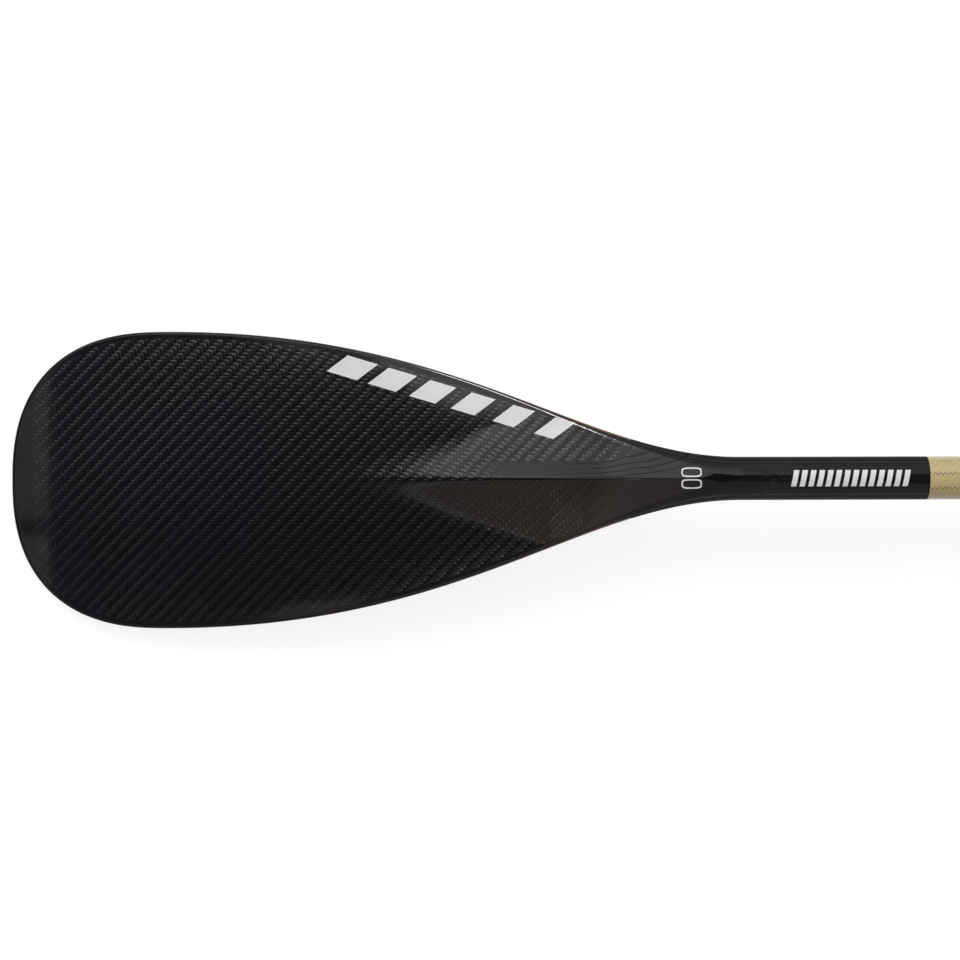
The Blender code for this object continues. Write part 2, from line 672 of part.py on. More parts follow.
# Extension and grip
def build_extension(finish, parent):
    start = SHAFT_LENGTH - EXTENSION_OVERLAP
    profile = tube_profile(start, GRIP_FACE - BOND_GAP, EXTENSION_BORE, EXTENSION_RADIUS)
    tube = add_object("extension_tube", turned(profile), finish["carbon"], parent)
    half_groove = KEY_WIDTH / 2 + BOND_GAP
    floor_of_groove = EXTENSION_RADIUS - KEY_DEPTH - BOND_GAP
    groove = box(
        (start - END_BUSH_FLANGE, -half_groove, -SHAFT_RADIUS),
        (GRIP_FACE + END_BUSH_FLANGE, half_groove, -floor_of_groove),
    )
    combine(tube, "groove_cutter", groove, "DIFFERENCE")

    spigot = EXTENSION_BORE - BOND_GAP
    bush_bore = spigot - END_BUSH_WALL
    bush = [
        (start - BOND_GAP - END_BUSH_FLANGE, bush_bore),
        (start + END_BUSH_LENGTH, bush_bore),
        (start + END_BUSH_LENGTH, spigot),
        (start - BOND_GAP, spigot),
        (start - BOND_GAP, EXTENSION_RADIUS),
        (start - BOND_GAP - END_BUSH_FLANGE, EXTENSION_RADIUS),
    ]
    add_object("extension_bush", turned(bush), finish["acetal"], parent)
    plug = rod_profile(start, start + END_PLUG_LENGTH, bush_bore - BOND_GAP)
    add_object("extension_plug", turned(plug), finish["foam"], parent)

    inside = GRIP_FACE - STEM_INSERTED
    end = inside + STEM_LENGTH
    stem = [
        (inside, spigot - STEM_WALL),
        (end, spigot - STEM_WALL),
        (end, spigot - STEM_STEP),
        (GRIP_FACE, spigot - STEM_STEP),
        (GRIP_FACE, spigot),
        (inside, spigot),
    ]
    add_object("grip_stem", turned(stem), finish["nylon"], parent)


def grip_cage():
    """A box cage of the T grip, open at its neck, that subdivision rounds off."""
    neck = EXTENSION_RADIUS * CAGE_NECK_SWELL
    half_bar = GRIP_THICKNESS / 2 * CAGE_BAR_SWELL
    bar_low = GRIP_HEIGHT - GRIP_BAR_DEPTH * CAGE_BAR_SWELL
    levels = [bar_low * rise for rise in CAGE_COLUMN_RISE] + [GRIP_HEIGHT * CAGE_TOP_SWELL]
    widths = [neck * width for width in CAGE_COLUMN_WIDTH]
    heights = [*widths[:-1], half_bar]
    bm = box((0, -neck, -neck), (levels[0], neck, neck))
    top = max(bm.faces, key=lambda f: f.calc_center_median().x)
    for x, half_y, height in zip(levels[1:], widths[1:], heights[1:]):
        top = bmesh.ops.extrude_discrete_faces(bm, faces=[top])["faces"][0]
        for vert in top.verts:
            side = math.copysign(half_y, vert.co.y)
            vert.co = Vector((x, side, math.copysign(height, vert.co.z)))
    bm.normal_update()
    bar_faces = [f for f in bm.faces if f.calc_center_median().x > bar_low and f != top]
    for face in [f for f in bar_faces if abs(f.normal.y) > abs(f.normal.z)]:
        way = math.copysign(1, face.normal.y)
        middle = face.calc_center_median().x
        for share, low, high, thick in zip(
            CAGE_ARM_REACH, CAGE_ARM_LOW, CAGE_ARM_HIGH, CAGE_ARM_THICKNESS
        ):
            face = bmesh.ops.extrude_discrete_faces(bm, faces=[face])["faces"][0]
            for vert in face.verts:
                x = GRIP_HEIGHT * high if vert.co.x > middle else bar_low * low
                side = way * GRIP_WIDTH * share
                vert.co = Vector((x, side, math.copysign(half_bar * thick, vert.co.z)))
            middle = face.calc_center_median().x
    base = min(bm.faces, key=lambda f: f.calc_center_median().x)
    bmesh.ops.delete(bm, geom=[base], context="FACES_ONLY")
    bmesh.ops.recalc_face_normals(bm, faces=bm.faces)
    return bm


def rounded(bm, levels):
    """The cage after Catmull-Clark subdivision, as a new bmesh."""
    mesh = bpy.data.meshes.new("cage")
    bm.to_mesh(mesh)
    bm.free()
    cage = bpy.data.objects.new("cage", mesh)
    bpy.context.scene.collection.objects.link(cage)
    modifier = cage.modifiers.new("rounding", "SUBSURF")
    modifier.levels = modifier.render_levels = levels
    bpy.context.view_layer.update()
    made = bmesh.new()
    made.from_object(cage, bpy.context.evaluated_depsgraph_get())
    bpy.data.objects.remove(cage)
    bpy.data.meshes.remove(mesh)
    return made


def cut_off(bm, point, normal):
    """Removes what lies in front of a plane and closes the cut."""
    made = bmesh.ops.bisect_plane(
        bm,
        geom=bm.verts[:] + bm.edges[:] + bm.faces[:],
        plane_co=point,
        plane_no=normal,
        clear_outer=True,
    )
    rim = [cut for cut in made["geom_cut"] if isinstance(cut, bmesh.types.BMEdge)]
    bmesh.ops.triangle_fill(bm, edges=rim, use_beauty=True)
    bmesh.ops.recalc_face_normals(bm, faces=bm.faces)


def grip_land():
    """A point of the flat land under the grip, a little above the lowest point of its bar."""
    bm = rounded(grip_cage(), GRIP_LEVELS)
    lowest = min((vert.co.copy() for vert in bm.verts), key=lambda co: co.z)
    bm.free()
    return Vector((GRIP_FACE + lowest.x, 0, lowest.z + LAND_DEPTH))


def build_grip(land, tilt, finish, parent):
    """Two shells over a foam core. The lower one has a flat land that lies on the floor."""
    for name, way in (("grip_upper_shell", 1), ("grip_lower_shell", -1)):
        bm = rounded(grip_cage(), GRIP_LEVELS)
        bm.normal_update()
        made = bmesh.ops.extrude_face_region(bm, geom=bm.faces[:], use_keep_orig=True)
        inner = [v for v in made["geom"] if isinstance(v, bmesh.types.BMVert)]
        for vert in inner:
            vert.co -= vert.normal * GRIP_WALL
        cut_off(bm, (0, 0, way * BOND_GAP / 2), (0, 0, -way))
        bmesh.ops.translate(bm, vec=(GRIP_FACE, 0, 0), verts=bm.verts)
        if way < 0:
            cut_off(bm, land, (math.sin(tilt), 0, -math.cos(tilt)))
        add_object(name, bm, finish["grip"], parent)

    bm = rounded(grip_cage(), GRIP_LEVELS - 1)
    bm.normal_update()
    for vert in bm.verts:
        vert.co -= vert.normal * (GRIP_WALL + 2 * BOND_GAP)
    cut_off(bm, (GRIP_CORE_BASE, 0, 0), (-1, 0, 0))
    bmesh.ops.translate(bm, vec=(GRIP_FACE, 0, 0), verts=bm.verts)
    core = add_object("grip_core", bm, finish["foam"], parent)
    bore_end = GRIP_FACE - STEM_INSERTED + STEM_LENGTH + BOND_GAP
    bore_radius = EXTENSION_BORE - STEM_STEP
    bore = turned(rod_profile(GRIP_FACE, bore_end, bore_radius))
    combine(core, "stem_bore_cutter", bore, "DIFFERENCE")


# Rest
def rest_tilt(blade_edge, land):
    """Turn about Y that puts the blade's tip and the grip's land on one level."""
    points = np.array([vert.co for vert in blade_edge.data.vertices])
    tilt = 0.0
    for _ in range(20):
        levels = points @ np.array([-math.sin(tilt), 0, math.cos(tilt)])
        lowest = points[levels.argmin()]
        tilt = math.atan2(land.z - lowest[2], land.x - lowest[0])
    return tilt


def lay_down(paddle, land, tilt):
    """Lays the paddle on the floor, with its middle over the origin."""
    turn = Matrix.Rotation(tilt, 4, "Y")
    paddle.rotation_euler = (0, tilt, 0)
    bpy.context.view_layer.update()
    ends = [turn @ vert.co for name in ENDS for vert in bpy.data.objects[name].data.vertices]
    low, high = min(p.x for p in ends), max(p.x for p in ends)
    paddle.location = (-(low + high) / 2, 0, -(turn @ land).z)


def main():
    for old in list(bpy.data.objects):
        bpy.data.objects.remove(old)
    finish = {
        "carbon": material("carbon laminate", (0.018, 0.018, 0.020), 0.18),
        "rail": material("edge rail", (0.012, 0.012, 0.013), 0.30),
        "neck": material("painted neck", (0.010, 0.010, 0.011), 0.22),
        "aramid": material("aramid laminate", (0.46, 0.39, 0.17), 0.35),
        "foam": material("closed cell foam", (0.72, 0.66, 0.45), 0.90),
        "nylon": material("black nylon", (0.020, 0.020, 0.022), 0.50),
        "acetal": material("acetal", (0.05, 0.05, 0.055), 0.45),
        "lever": material("lever nylon", (0.022, 0.022, 0.024), 0.42),
        "knob": material("knob nylon", (0.020, 0.020, 0.022), 0.50),
        "steel": material("stainless steel", (0.62, 0.62, 0.61), 0.28, 1.0),
        "brass": material("brass", (0.72, 0.55, 0.25), 0.30, 1.0),
        "grip": material("grip carbon", (0.018, 0.018, 0.020), 0.30),
    }
    paddle = empty("paddle", None, (0, 0, 0))
    build_blade(finish, paddle)
    build_shaft(finish, paddle)
    build_collar(finish, paddle)
    build_clamp_hardware(finish, paddle)
    build_knob(finish, paddle)
    build_lever(finish, paddle)
    build_extension(finish, paddle)
    land = grip_land()
    tilt = rest_tilt(bpy.data.objects["edge_rail"], land)
    build_grip(land, tilt, finish, paddle)
    lay_down(paddle, land, tilt)


main()
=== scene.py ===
# %% [markdown]
# # Dressing a stand-up paddle
#
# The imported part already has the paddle's size, its joints and its place on the floor. This
# lesson gives each piece its fine surface and its finish: clear-coated carbon twill on the
# blade, lengthwise carbon round the throat, black paint on the neck, woven aramid on the
# lower shaft, and moulded nylon, steel and brass on the clamp. Lengths are in metres.

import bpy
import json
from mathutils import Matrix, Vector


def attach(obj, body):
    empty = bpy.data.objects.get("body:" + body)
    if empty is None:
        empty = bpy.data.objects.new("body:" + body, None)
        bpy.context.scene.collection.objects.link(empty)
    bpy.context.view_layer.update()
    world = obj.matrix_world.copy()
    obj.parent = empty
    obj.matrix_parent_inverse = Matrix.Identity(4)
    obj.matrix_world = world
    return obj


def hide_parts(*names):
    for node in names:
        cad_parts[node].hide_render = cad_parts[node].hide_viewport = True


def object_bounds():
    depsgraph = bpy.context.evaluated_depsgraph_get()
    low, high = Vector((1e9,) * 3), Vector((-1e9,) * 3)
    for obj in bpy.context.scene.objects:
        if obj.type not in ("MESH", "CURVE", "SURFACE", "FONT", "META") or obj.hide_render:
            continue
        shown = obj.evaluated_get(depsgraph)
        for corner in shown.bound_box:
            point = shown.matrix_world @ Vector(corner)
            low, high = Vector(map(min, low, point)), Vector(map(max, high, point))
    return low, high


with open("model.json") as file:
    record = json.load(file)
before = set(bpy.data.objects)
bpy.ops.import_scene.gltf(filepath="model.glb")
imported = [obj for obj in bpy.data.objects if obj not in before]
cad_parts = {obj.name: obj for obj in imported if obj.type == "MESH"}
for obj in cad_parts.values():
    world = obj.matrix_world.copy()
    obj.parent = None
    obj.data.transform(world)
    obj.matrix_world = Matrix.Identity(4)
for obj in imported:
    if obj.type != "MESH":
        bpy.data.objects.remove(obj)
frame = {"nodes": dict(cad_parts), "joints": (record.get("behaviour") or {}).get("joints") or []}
cad_low, cad_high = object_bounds()
print("the part runs from", tuple(cad_low), "to", tuple(cad_high))

# %% The rest of the tools
import json
import math

import bmesh
import bpy
import numpy as np
from mathutils import Matrix, Vector

# %% [markdown]
# ## The paddle's own frame
#
# The paddle lies on the blade's tip and on the grip, so its shaft falls by about 1.5 degrees.
# Every shape is easier in a frame of its own: X up the shaft from the joint between the neck
# and the shaft, Y across the blade, Z out of the power face. The slide joint of the packed
# part gives the direction of X, and the first ring of the lower shaft gives the origin.

# %% Find the shaft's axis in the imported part
BOND_GAP = 0.0003
slide = next(joint for joint in frame["joints"] if joint["type"] == "slide")
UP_SHAFT = Vector(slide["axis"]).normalized()


def end_ring(node, way):
    """The middle of a node's last ring of vertices in one direction."""
    points = np.array([vert.co for vert in frame["nodes"][node].data.vertices])
    along = points @ np.array(way)
    ring = points[along > along.max() - BOND_GAP / 10]
    return Vector((ring.min(axis=0) + ring.max(axis=0)) / 2)


neck_joint = end_ring("shaft_tube", -UP_SHAFT) - UP_SHAFT * BOND_GAP
tilt = math.atan2(-UP_SHAFT.z, UP_SHAFT.x)
TO_WORLD = Matrix.Translation(neck_joint) @ Matrix.Rotation(tilt, 4, "Y")
print(f"the shaft starts at {tuple(neck_joint)} and falls by {math.degrees(tilt):.3f} degrees")

# %% [markdown]
# ## Shader maths as Python
#
# A material is a tree of nodes. Writing each Math node by hand hides the formula that they
# make, so one small class wraps a socket: adding, multiplying or comparing two wires adds the
# Math node for it. Its method `node` makes every other kind of node.


# %% A wire is one socket of a shader tree
class Wire:
    """An output socket. Arithmetic on wires adds Math nodes to their tree."""

    def __init__(self, tree, socket=None):
        self.tree = tree
        self.socket = socket

    def node(self, kind, sockets=None, output=0, **settings):
        """Adds a node: its settings first, then a value or a wire for each named socket."""
        made = self.tree.nodes.new(kind)
        for name, value in settings.items():
            setattr(made, name, value)
        for name, value in (sockets or {}).items():
            if isinstance(value, Wire):
                self.tree.links.new(value.socket, made.inputs[name])
            else:
                made.inputs[name].default_value = value
        return Wire(self.tree, made.outputs[output])

    def maths(self, operation, *values):
        return self.node("ShaderNodeMath", dict(enumerate(values)), operation=operation)

    def __add__(self, other):
        return self.maths("ADD", self, other)

    def __radd__(self, other):
        return self.maths("ADD", other, self)

    def __sub__(self, other):
        return self.maths("SUBTRACT", self, other)

    def __rsub__(self, other):
        return self.maths("SUBTRACT", other, self)

    def __mul__(self, other):
        return self.maths("MULTIPLY", self, other)

    def __rmul__(self, other):
        return self.maths("MULTIPLY", other, self)

    def __truediv__(self, other):
        return self.maths("DIVIDE", self, other)

    def __neg__(self):
        return self.maths("MULTIPLY", self, -1.0)

    def __abs__(self):
        return self.maths("ABSOLUTE", self)

    def __mod__(self, other):
        return self.maths("FLOORED_MODULO", self, other)

    def floor(self):
        return self.maths("FLOOR", self)

    def root(self):
        return self.maths("SQRT", self)

    def cosine(self):
        return self.maths("COSINE", self)

    def below(self, limit):
        """1 where the wire is less than the limit, and 0 elsewhere."""
        return self.maths("LESS_THAN", self, limit)

    def least(self, other):
        return self.maths("MINIMUM", self, other)

    def most(self, other):
        return self.maths("MAXIMUM", self, other)

    def step(self, low, high):
        """A smooth step from 0 at low to 1 at high."""
        values = {"Value": self, "From Min": low, "From Max": high}
        return self.node("ShaderNodeMapRange", values, interpolation_type="SMOOTHSTEP")

    def band(self, low, high, soft):
        """1 between two limits, with soft edges."""
        return self.step(low - soft, low) * (1 - self.step(high, high + soft))


# %% [markdown]
# A few helpers serve every finish. Colours and vectors never go through a Math node, which
# would turn them grey: they go through Mix and Vector Math nodes. A finish is a function that
# starts from a wire and from the place on the piece in metres, and gives back its shader.


# %% Helpers for vectors, colours, noise and finishes
def split(vector):
    """The three parts of a vector wire."""
    outputs = vector.node("ShaderNodeSeparateXYZ", {0: vector}).socket.node.outputs
    return [Wire(vector.tree, outputs[axis]) for axis in range(3)]


def join(x, y, z=0.0):
    """A vector wire from three numbers, of which the first is a wire."""
    return x.node("ShaderNodeCombineXYZ", {"X": x, "Y": y, "Z": z})


def rgb(red, green, blue):
    return (red, green, blue, 1.0)


def blend_colours(share, start, end):
    """A colour between two others."""
    sockets = {"Factor": share, 6: start, 7: end}
    return share.node("ShaderNodeMix", sockets, output=2, data_type="RGBA")


def painted(colour, *patches):
    """A colour with patches over it, one after the other: a share and a colour for each."""
    for share, paint in patches:
        colour = blend_colours(share, colour, paint)
    return colour


def noise(place, size, detail=2.0, roughness=0.5):
    """Smooth noise whose lumps have about the given size."""
    sockets = {"Vector": place, "Scale": 1 / size, "Detail": detail, "Roughness": roughness}
    return place.node("ShaderNodeTexNoise", sockets)


def way_faced(start):
    """The three parts of the direction in which the surface faces."""
    return split(start.node("ShaderNodeTexCoord", output="Normal"))


def gloss(start, **sockets):
    """A Principled shader. Names have _ where its sockets have a space."""
    values = {name.replace("_", " "): value for name, value in sockets.items()}
    return start.node("ShaderNodeBsdfPrincipled", values)


def emptied(owner):
    """Clears the tree of a material or a world, and gives back a wire to start it with."""
    owner.use_nodes = True
    owner.node_tree.nodes.clear()
    return Wire(owner.node_tree)


def end_with(shader, kind):
    """Ends a tree with its output node."""
    output = shader.tree.nodes.new(kind)
    shader.tree.links.new(shader.socket, output.inputs["Surface"])


def material(name, finish, *values):
    """A material with the shader that a finish gives it."""
    made = bpy.data.materials.new(name)
    start = emptied(made)
    place = start.node("ShaderNodeTexCoord", output="Object")
    end_with(finish(start, place, *values), "ShaderNodeOutputMaterial")
    return made


def as_object(name, bm):
    """An object of the scene with the mesh of a body, which is freed."""
    mesh = bpy.data.meshes.new(name)
    bm.to_mesh(mesh)
    bm.free()
    made = bpy.data.objects.new(name, mesh)
    bpy.context.scene.collection.objects.link(made)
    return made


# %% [markdown]
# ## The camera
#
# The photograph looks straight down on the blade from about 1.6 m, from over the middle of
# the blade, so that the far end of the neck is seen a little from the side. A lens of 96 mm
# fits the blade and the neck into the square frame.

# %% Set the camera over the blade
CAMERA_FROM_TIP = 0.2912
CAMERA_ASIDE = -0.0005
CAMERA_HEIGHT = 1.6
CAMERA_LENS = 96.26
CAMERA_TURN_DEG = -0.16

camera = bpy.data.objects.new("camera", bpy.data.cameras.new("camera"))
camera.data.lens = CAMERA_LENS
camera.data.sensor_width = 36
camera.location = (cad_low.x + CAMERA_FROM_TIP, CAMERA_ASIDE, CAMERA_HEIGHT)
camera.rotation_euler = (0, 0, math.radians(CAMERA_TURN_DEG))
bpy.context.scene.collection.objects.link(camera)
bpy.context.scene.camera = camera
bpy.context.scene.view_settings.view_transform = "Standard"
print("the camera looks down from", tuple(camera.location))

# %% [markdown]
# ## The studio
#
# Black gloss is drawn by what it reflects, so this studio is a dome that is painted for the
# blade. A spot of it is named by where its direction meets a ceiling one metre up: u metres up
# the shaft, v metres to the left, which is the upper side of the picture. The ceiling is dark:
# it is the black of the flat blade, and the black stripe along the neck. The left wall is pale
# and the right one brown, and the two sides of the ridge mirror them. A panel past the tip
# greys the band of bare resin there, and a narrow lamp on the left makes the glint on the rim.
# Each mask below is a step or a band, whose numbers say where it starts and ends.

# %% Light the dome
CEILING = rgb(0.088, 0.093, 0.113)
CEILING_BLUE = rgb(0.084, 0.108, 0.190)
CEILING_NECK = rgb(0.15, 0.15, 0.155)
LEFT_LOW = rgb(1.43, 1.40, 1.41)
LEFT_DIP = rgb(0.77, 0.75, 0.76)
LEFT_HIGH = rgb(1.40, 1.38, 1.39)
LEFT_TIP = rgb(2.10, 2.07, 2.10)
LEFT_FAR = rgb(0.62, 0.59, 0.58)
RIGHT_BLADE = rgb(0.33, 0.250, 0.210)
RIGHT_THROAT = rgb(0.66, 0.58, 0.55)
RIGHT_NECK = rgb(0.38, 0.35, 0.34)
RIGHT_STRIP = rgb(0.52, 0.50, 0.49)
FAR_WALL = rgb(0.42, 0.39, 0.38)
RIM_DIM = rgb(0.10, 0.095, 0.090)
TIP_PANEL = rgb(0.74, 0.735, 0.74)
CARD = rgb(2.4, 2.2, 2.0)
LAMP = rgb(34.0, 33.5, 34.5)
WHITE = rgb(1.0, 1.0, 1.0)

WALL_AT = 0.147
LEFT_NEARER, LEFT_NEARER_U = 0.055, (-0.345, -0.300)
LEFT_LEAN, LEFT_LEAN_FROM, LEFT_LEAN_LENGTH = 0.48, -0.30, 0.55
RIGHT_FARTHER, RIGHT_FARTHER_U = 0.045, (-0.345, -0.315)
RIGHT_AWAY, RIGHT_AWAY_U = 0.40, (0.12, 0.26)
TIP_RETREAT, TIP_RETREAT_FROM, TIP_RETREAT_LENGTH = 2, -0.392, 0.055
STRAY, STRAY_SIZE, STRAY_ENDS_U = 0.07, 0.035, (-0.30, -0.22)
LEFT_SOFT, RIGHT_SOFT = (-0.014, 0.040), (-0.012, 0.018)
STRIP, STRIP_ENDS_U = (0.0, 0.020, 0.010), (-0.33, -0.28)
LEFT_DIP_V = (0.185, 0.240)
LEFT_HIGH_V, LEFT_HIGH_LEAN = (0.40, 0.50), 0.9
LEFT_TIP_V, LEFT_TIP_ENDS_U = (0.36, 0.44), (-0.36, -0.28)
LEFT_FAR_U = (-0.050, 0.250)
RIGHT_THROAT_U, RIGHT_NECK_U, RIGHT_FAR_V = (-0.32, -0.20), (-0.12, 0.06), (0.8, 3.0)
CEILING_NECK_U = (-0.10, 0.15)
BLUE_SIZE, BLUE_STEP, BLUE_PAST = 0.16, (0.45, 0.65), (0.0, 0.10)
CARD_U, CARD_V = (-0.200, -0.160, 0.008), (0.17, 0.28, 0.01)
LOW_DOWN, LOW_DOWN_ENDS_U = (0.85, 1.25), (-0.25, -0.05)
TIP_PANEL_U, TIP_SHADE, TIP_SHADE_V = (0.5745, 0.64, 0.004), 0.6, (0.030, 0.046, 0.006)
SMUDGE, SMUDGE_SIZE, SMUDGE_STEP = 0.35, 0.012, (0.35, 0.60)
BEHIND_U = (0.70, 1.0)
LAMP_LEAN, LAMP_U, LAMP_V = 0.26, (-0.345, -0.268, 0.012), (0.60, 1.10, 0.05)


def left_wall(u, v):
    """The colours of the left wall: pale, with a duller stretch and brighter parts above it."""
    high = v + LEFT_HIGH_LEAN * (u - LEFT_LEAN_FROM).most(0.0)
    return painted(
        LEFT_LOW,
        (v.step(*LEFT_DIP_V), LEFT_DIP),
        (high.step(*LEFT_HIGH_V), LEFT_HIGH),
        (v.step(*LEFT_TIP_V) * (1 - u.step(*LEFT_TIP_ENDS_U)), LEFT_TIP),
        (u.step(*LEFT_FAR_U), LEFT_FAR),
    )


def right_wall(u, v):
    """The colours of the right wall: brown beside the blade, greyer beside throat and neck."""
    return painted(
        RIGHT_BLADE,
        (u.step(*RIGHT_THROAT_U), RIGHT_THROAT),
        (u.step(*RIGHT_NECK_U), RIGHT_NECK),
        ((-v).step(*RIGHT_FAR_V), FAR_WALL),
    )


def dome_colour(u, v):
    """The colour of the dome, from the ceiling to the lamp."""
    spot = join(u, v)
    retreat = (TIP_RETREAT_FROM - u).most(0.0).least(TIP_RETREAT_LENGTH) * TIP_RETREAT
    stray = (noise(spot, STRAY_SIZE) - 0.5) * STRAY * (1 - u.step(*STRAY_ENDS_U))
    lean = (u - LEFT_LEAN_FROM).most(0.0).least(LEFT_LEAN_LENGTH) * LEFT_LEAN
    left = v - WALL_AT + LEFT_NEARER * u.step(*LEFT_NEARER_U) - lean - retreat + stray
    right = -v - WALL_AT - RIGHT_FARTHER * u.step(*RIGHT_FARTHER_U) - retreat
    right = right - RIGHT_AWAY * u.step(*RIGHT_AWAY_U) + stray
    blue = noise(spot, BLUE_SIZE, detail=3.0).step(*BLUE_STEP) * retreat.step(*BLUE_PAST)
    smudge = noise(spot, SMUDGE_SIZE, detail=3.0).step(*SMUDGE_STEP) * SMUDGE
    panel = (-u).band(*TIP_PANEL_U) * (1 - TIP_SHADE * (-v).band(*TIP_SHADE_V) - smudge)
    low_down = (u * u + v * v).root().step(*LOW_DOWN) * (1 - u.step(*LOW_DOWN_ENDS_U))
    return painted(
        CEILING,
        (blue, CEILING_BLUE),
        (u.step(*CEILING_NECK_U), CEILING_NECK),
        (right.step(*RIGHT_SOFT), right_wall(u, v)),
        (right.band(*STRIP) * (1 - u.step(*STRIP_ENDS_U)), RIGHT_STRIP),
        (u.band(*CARD_U) * (-v).band(*CARD_V), CARD),
        (left.step(*LEFT_SOFT), left_wall(u, v)),
        (low_down, RIM_DIM),
        (panel, TIP_PANEL),
        (u.step(*BEHIND_U), FAR_WALL),
        ((u - v * LAMP_LEAN).band(*LAMP_U) * v.band(*LAMP_V), LAMP),
    )


def light_dome():
    """Lights the scene with the dome. The camera itself sees plain white."""
    world = bpy.data.worlds.new("studio")
    start = emptied(world)
    x, y, z = split(start.node("ShaderNodeTexCoord", output="Generated"))
    height = z.most(0.001)
    seen = start.node("ShaderNodeLightPath", output="Is Camera Ray")
    colour = blend_colours(seen, dome_colour(x / height, y / height), WHITE)
    shader = start.node("ShaderNodeBackground", {"Color": colour, "Strength": 1.0})
    end_with(shader, "ShaderNodeOutputWorld")
    bpy.context.scene.world = world


light_dome()

# %% [markdown]
# A large soft lamp hangs over the paddle and lights its plain colours: print, gold yarn and
# foam. It isn't seen in the gloss, where it would hide the dark ceiling.

# %% Hang the soft lamp
LAMP_HEIGHT = 2.4
LAMP_SIZE = 2.6
LAMP_WATTS = 18.5
LAMP_ASIDE = 1.3


def hang_lamp():
    light = bpy.data.lights.new("soft_lamp", "AREA")
    light.shape = "DISK"
    light.size = LAMP_SIZE
    light.energy = LAMP_WATTS
    lamp = bpy.data.objects.new("soft_lamp", light)
    lamp.location = (cad_low.x + CAMERA_FROM_TIP, LAMP_ASIDE, LAMP_HEIGHT)
    lamp.rotation_euler = (-math.atan2(LAMP_ASIDE, LAMP_HEIGHT), 0, 0)
    lamp.visible_camera = False
    lamp.visible_glossy = False
    bpy.context.scene.collection.objects.link(lamp)


hang_lamp()

# %% [markdown]
# The floor is plain white card. Its own glow makes it as white for the camera as the walls,
# and it keeps a faint shadow of the paddle. It lies a hair under the tip and the grip.

# %% Lay the floor
FLOOR_SIDE = 14.0
FLOOR_DROP = 0.0004
FLOOR_BOUNCE = 0.40
FLOOR_PALE = 0.22
FLOOR_GLOW = 0.86


def white_card(start, place):
    """Card that is bright where the camera or a mirror sees it, and duller as a light."""
    rays = start.node("ShaderNodeLightPath").socket.node.outputs
    seen = Wire(start.tree, rays["Is Camera Ray"])
    for name in ("Is Glossy Ray", "Is Transmission Ray"):
        seen = seen.most(Wire(start.tree, rays[name]))
    plain = start.node("ShaderNodeBsdfDiffuse", {"Color": rgb(*[FLOOR_BOUNCE] * 3)})
    pale = start.node("ShaderNodeBsdfDiffuse", {"Color": rgb(*[FLOOR_PALE] * 3)})
    glow = start.node("ShaderNodeEmission", {"Color": WHITE, "Strength": FLOOR_GLOW})
    shown = start.node("ShaderNodeAddShader", {0: pale, 1: glow})
    return start.node("ShaderNodeMixShader", {0: seen, 1: plain, 2: shown})


def lay_floor():
    bm = bmesh.new()
    bmesh.ops.create_grid(bm, x_segments=1, y_segments=1, size=FLOOR_SIDE / 2)
    bmesh.ops.translate(bm, vec=(0, 0, -FLOOR_DROP), verts=bm.verts)
    floor = as_object("floor", bm)
    floor.data.materials.append(material("white_card", white_card))


lay_floor()

# %% [markdown]
# ## The shape of the blade
#
# The blade is drawn as its maker would loft it. The outline is a superellipse at the tip and
# one Bezier curve from the widest place to the round neck. The edge grows from thin to the
# neck's own radius, so the flat blade turns into the round neck without a seam. The same
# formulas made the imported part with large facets: here they make a fine mesh.

# %% The outline of the blade
BLADE_LENGTH = 0.4515
BLADE_WIDTH = 0.183
TIP_LENGTH = 0.0955
TIP_POWER_ALONG = 2.44
TIP_POWER_ACROSS = 2.42
SHOULDER_HANDLE_LENGTH = 0.1904
THROAT_HANDLE_LENGTH = 0.0965
SHAFT_RADIUS = 0.013
OUTLINE_SAMPLES = 1600


def outline_curve():
    """The edge as (distance from tip, half width)."""
    half = BLADE_WIDTH / 2
    share = np.linspace(0, 1, OUTLINE_SAMPLES) ** 3
    across = (1 - (1 - share) ** TIP_POWER_ALONG) ** (1 / TIP_POWER_ACROSS)
    tip = np.stack([share * TIP_LENGTH, across * half], axis=1)
    t = np.linspace(0, 1, OUTLINE_SAMPLES)[1:, None]
    start = np.array([TIP_LENGTH, half])
    shoulder = np.array([TIP_LENGTH + SHOULDER_HANDLE_LENGTH, half])
    throat = np.array([BLADE_LENGTH - THROAT_HANDLE_LENGTH, SHAFT_RADIUS])
    end = np.array([BLADE_LENGTH, SHAFT_RADIUS])
    flank = (1 - t) ** 3 * start + 3 * (1 - t) ** 2 * t * shoulder
    flank = flank + 3 * (1 - t) * t**2 * throat + t**3 * end
    return np.concatenate([tip, flank])


OUTLINE = outline_curve()


def inset_outline(distance):
    """The outline moved inwards, by a distance that may change along the blade."""
    along, half = OUTLINE[:, 0], OUTLINE[:, 1]
    d_along, d_half = np.gradient(along), np.gradient(half)
    length = np.hypot(d_along, d_half)
    inset = np.array([distance(s) for s in along])
    return np.stack([along + inset * d_half / length, half - inset * d_along / length], axis=1)


def width_at(curve, s):
    return float(np.interp(s, curve[:, 0], curve[:, 1]))


print(f"the outline has {len(OUTLINE)} points")

# %% [markdown]
# The thickness has three parts. A thin plate carries everything. On the power face a ridge
# rises along the middle with a hollow on each side, and meets the round neck. On the back a
# softer spine does the same. The ridge's crest is rounded by a few millimetres, at its start
# and again just before the neck.

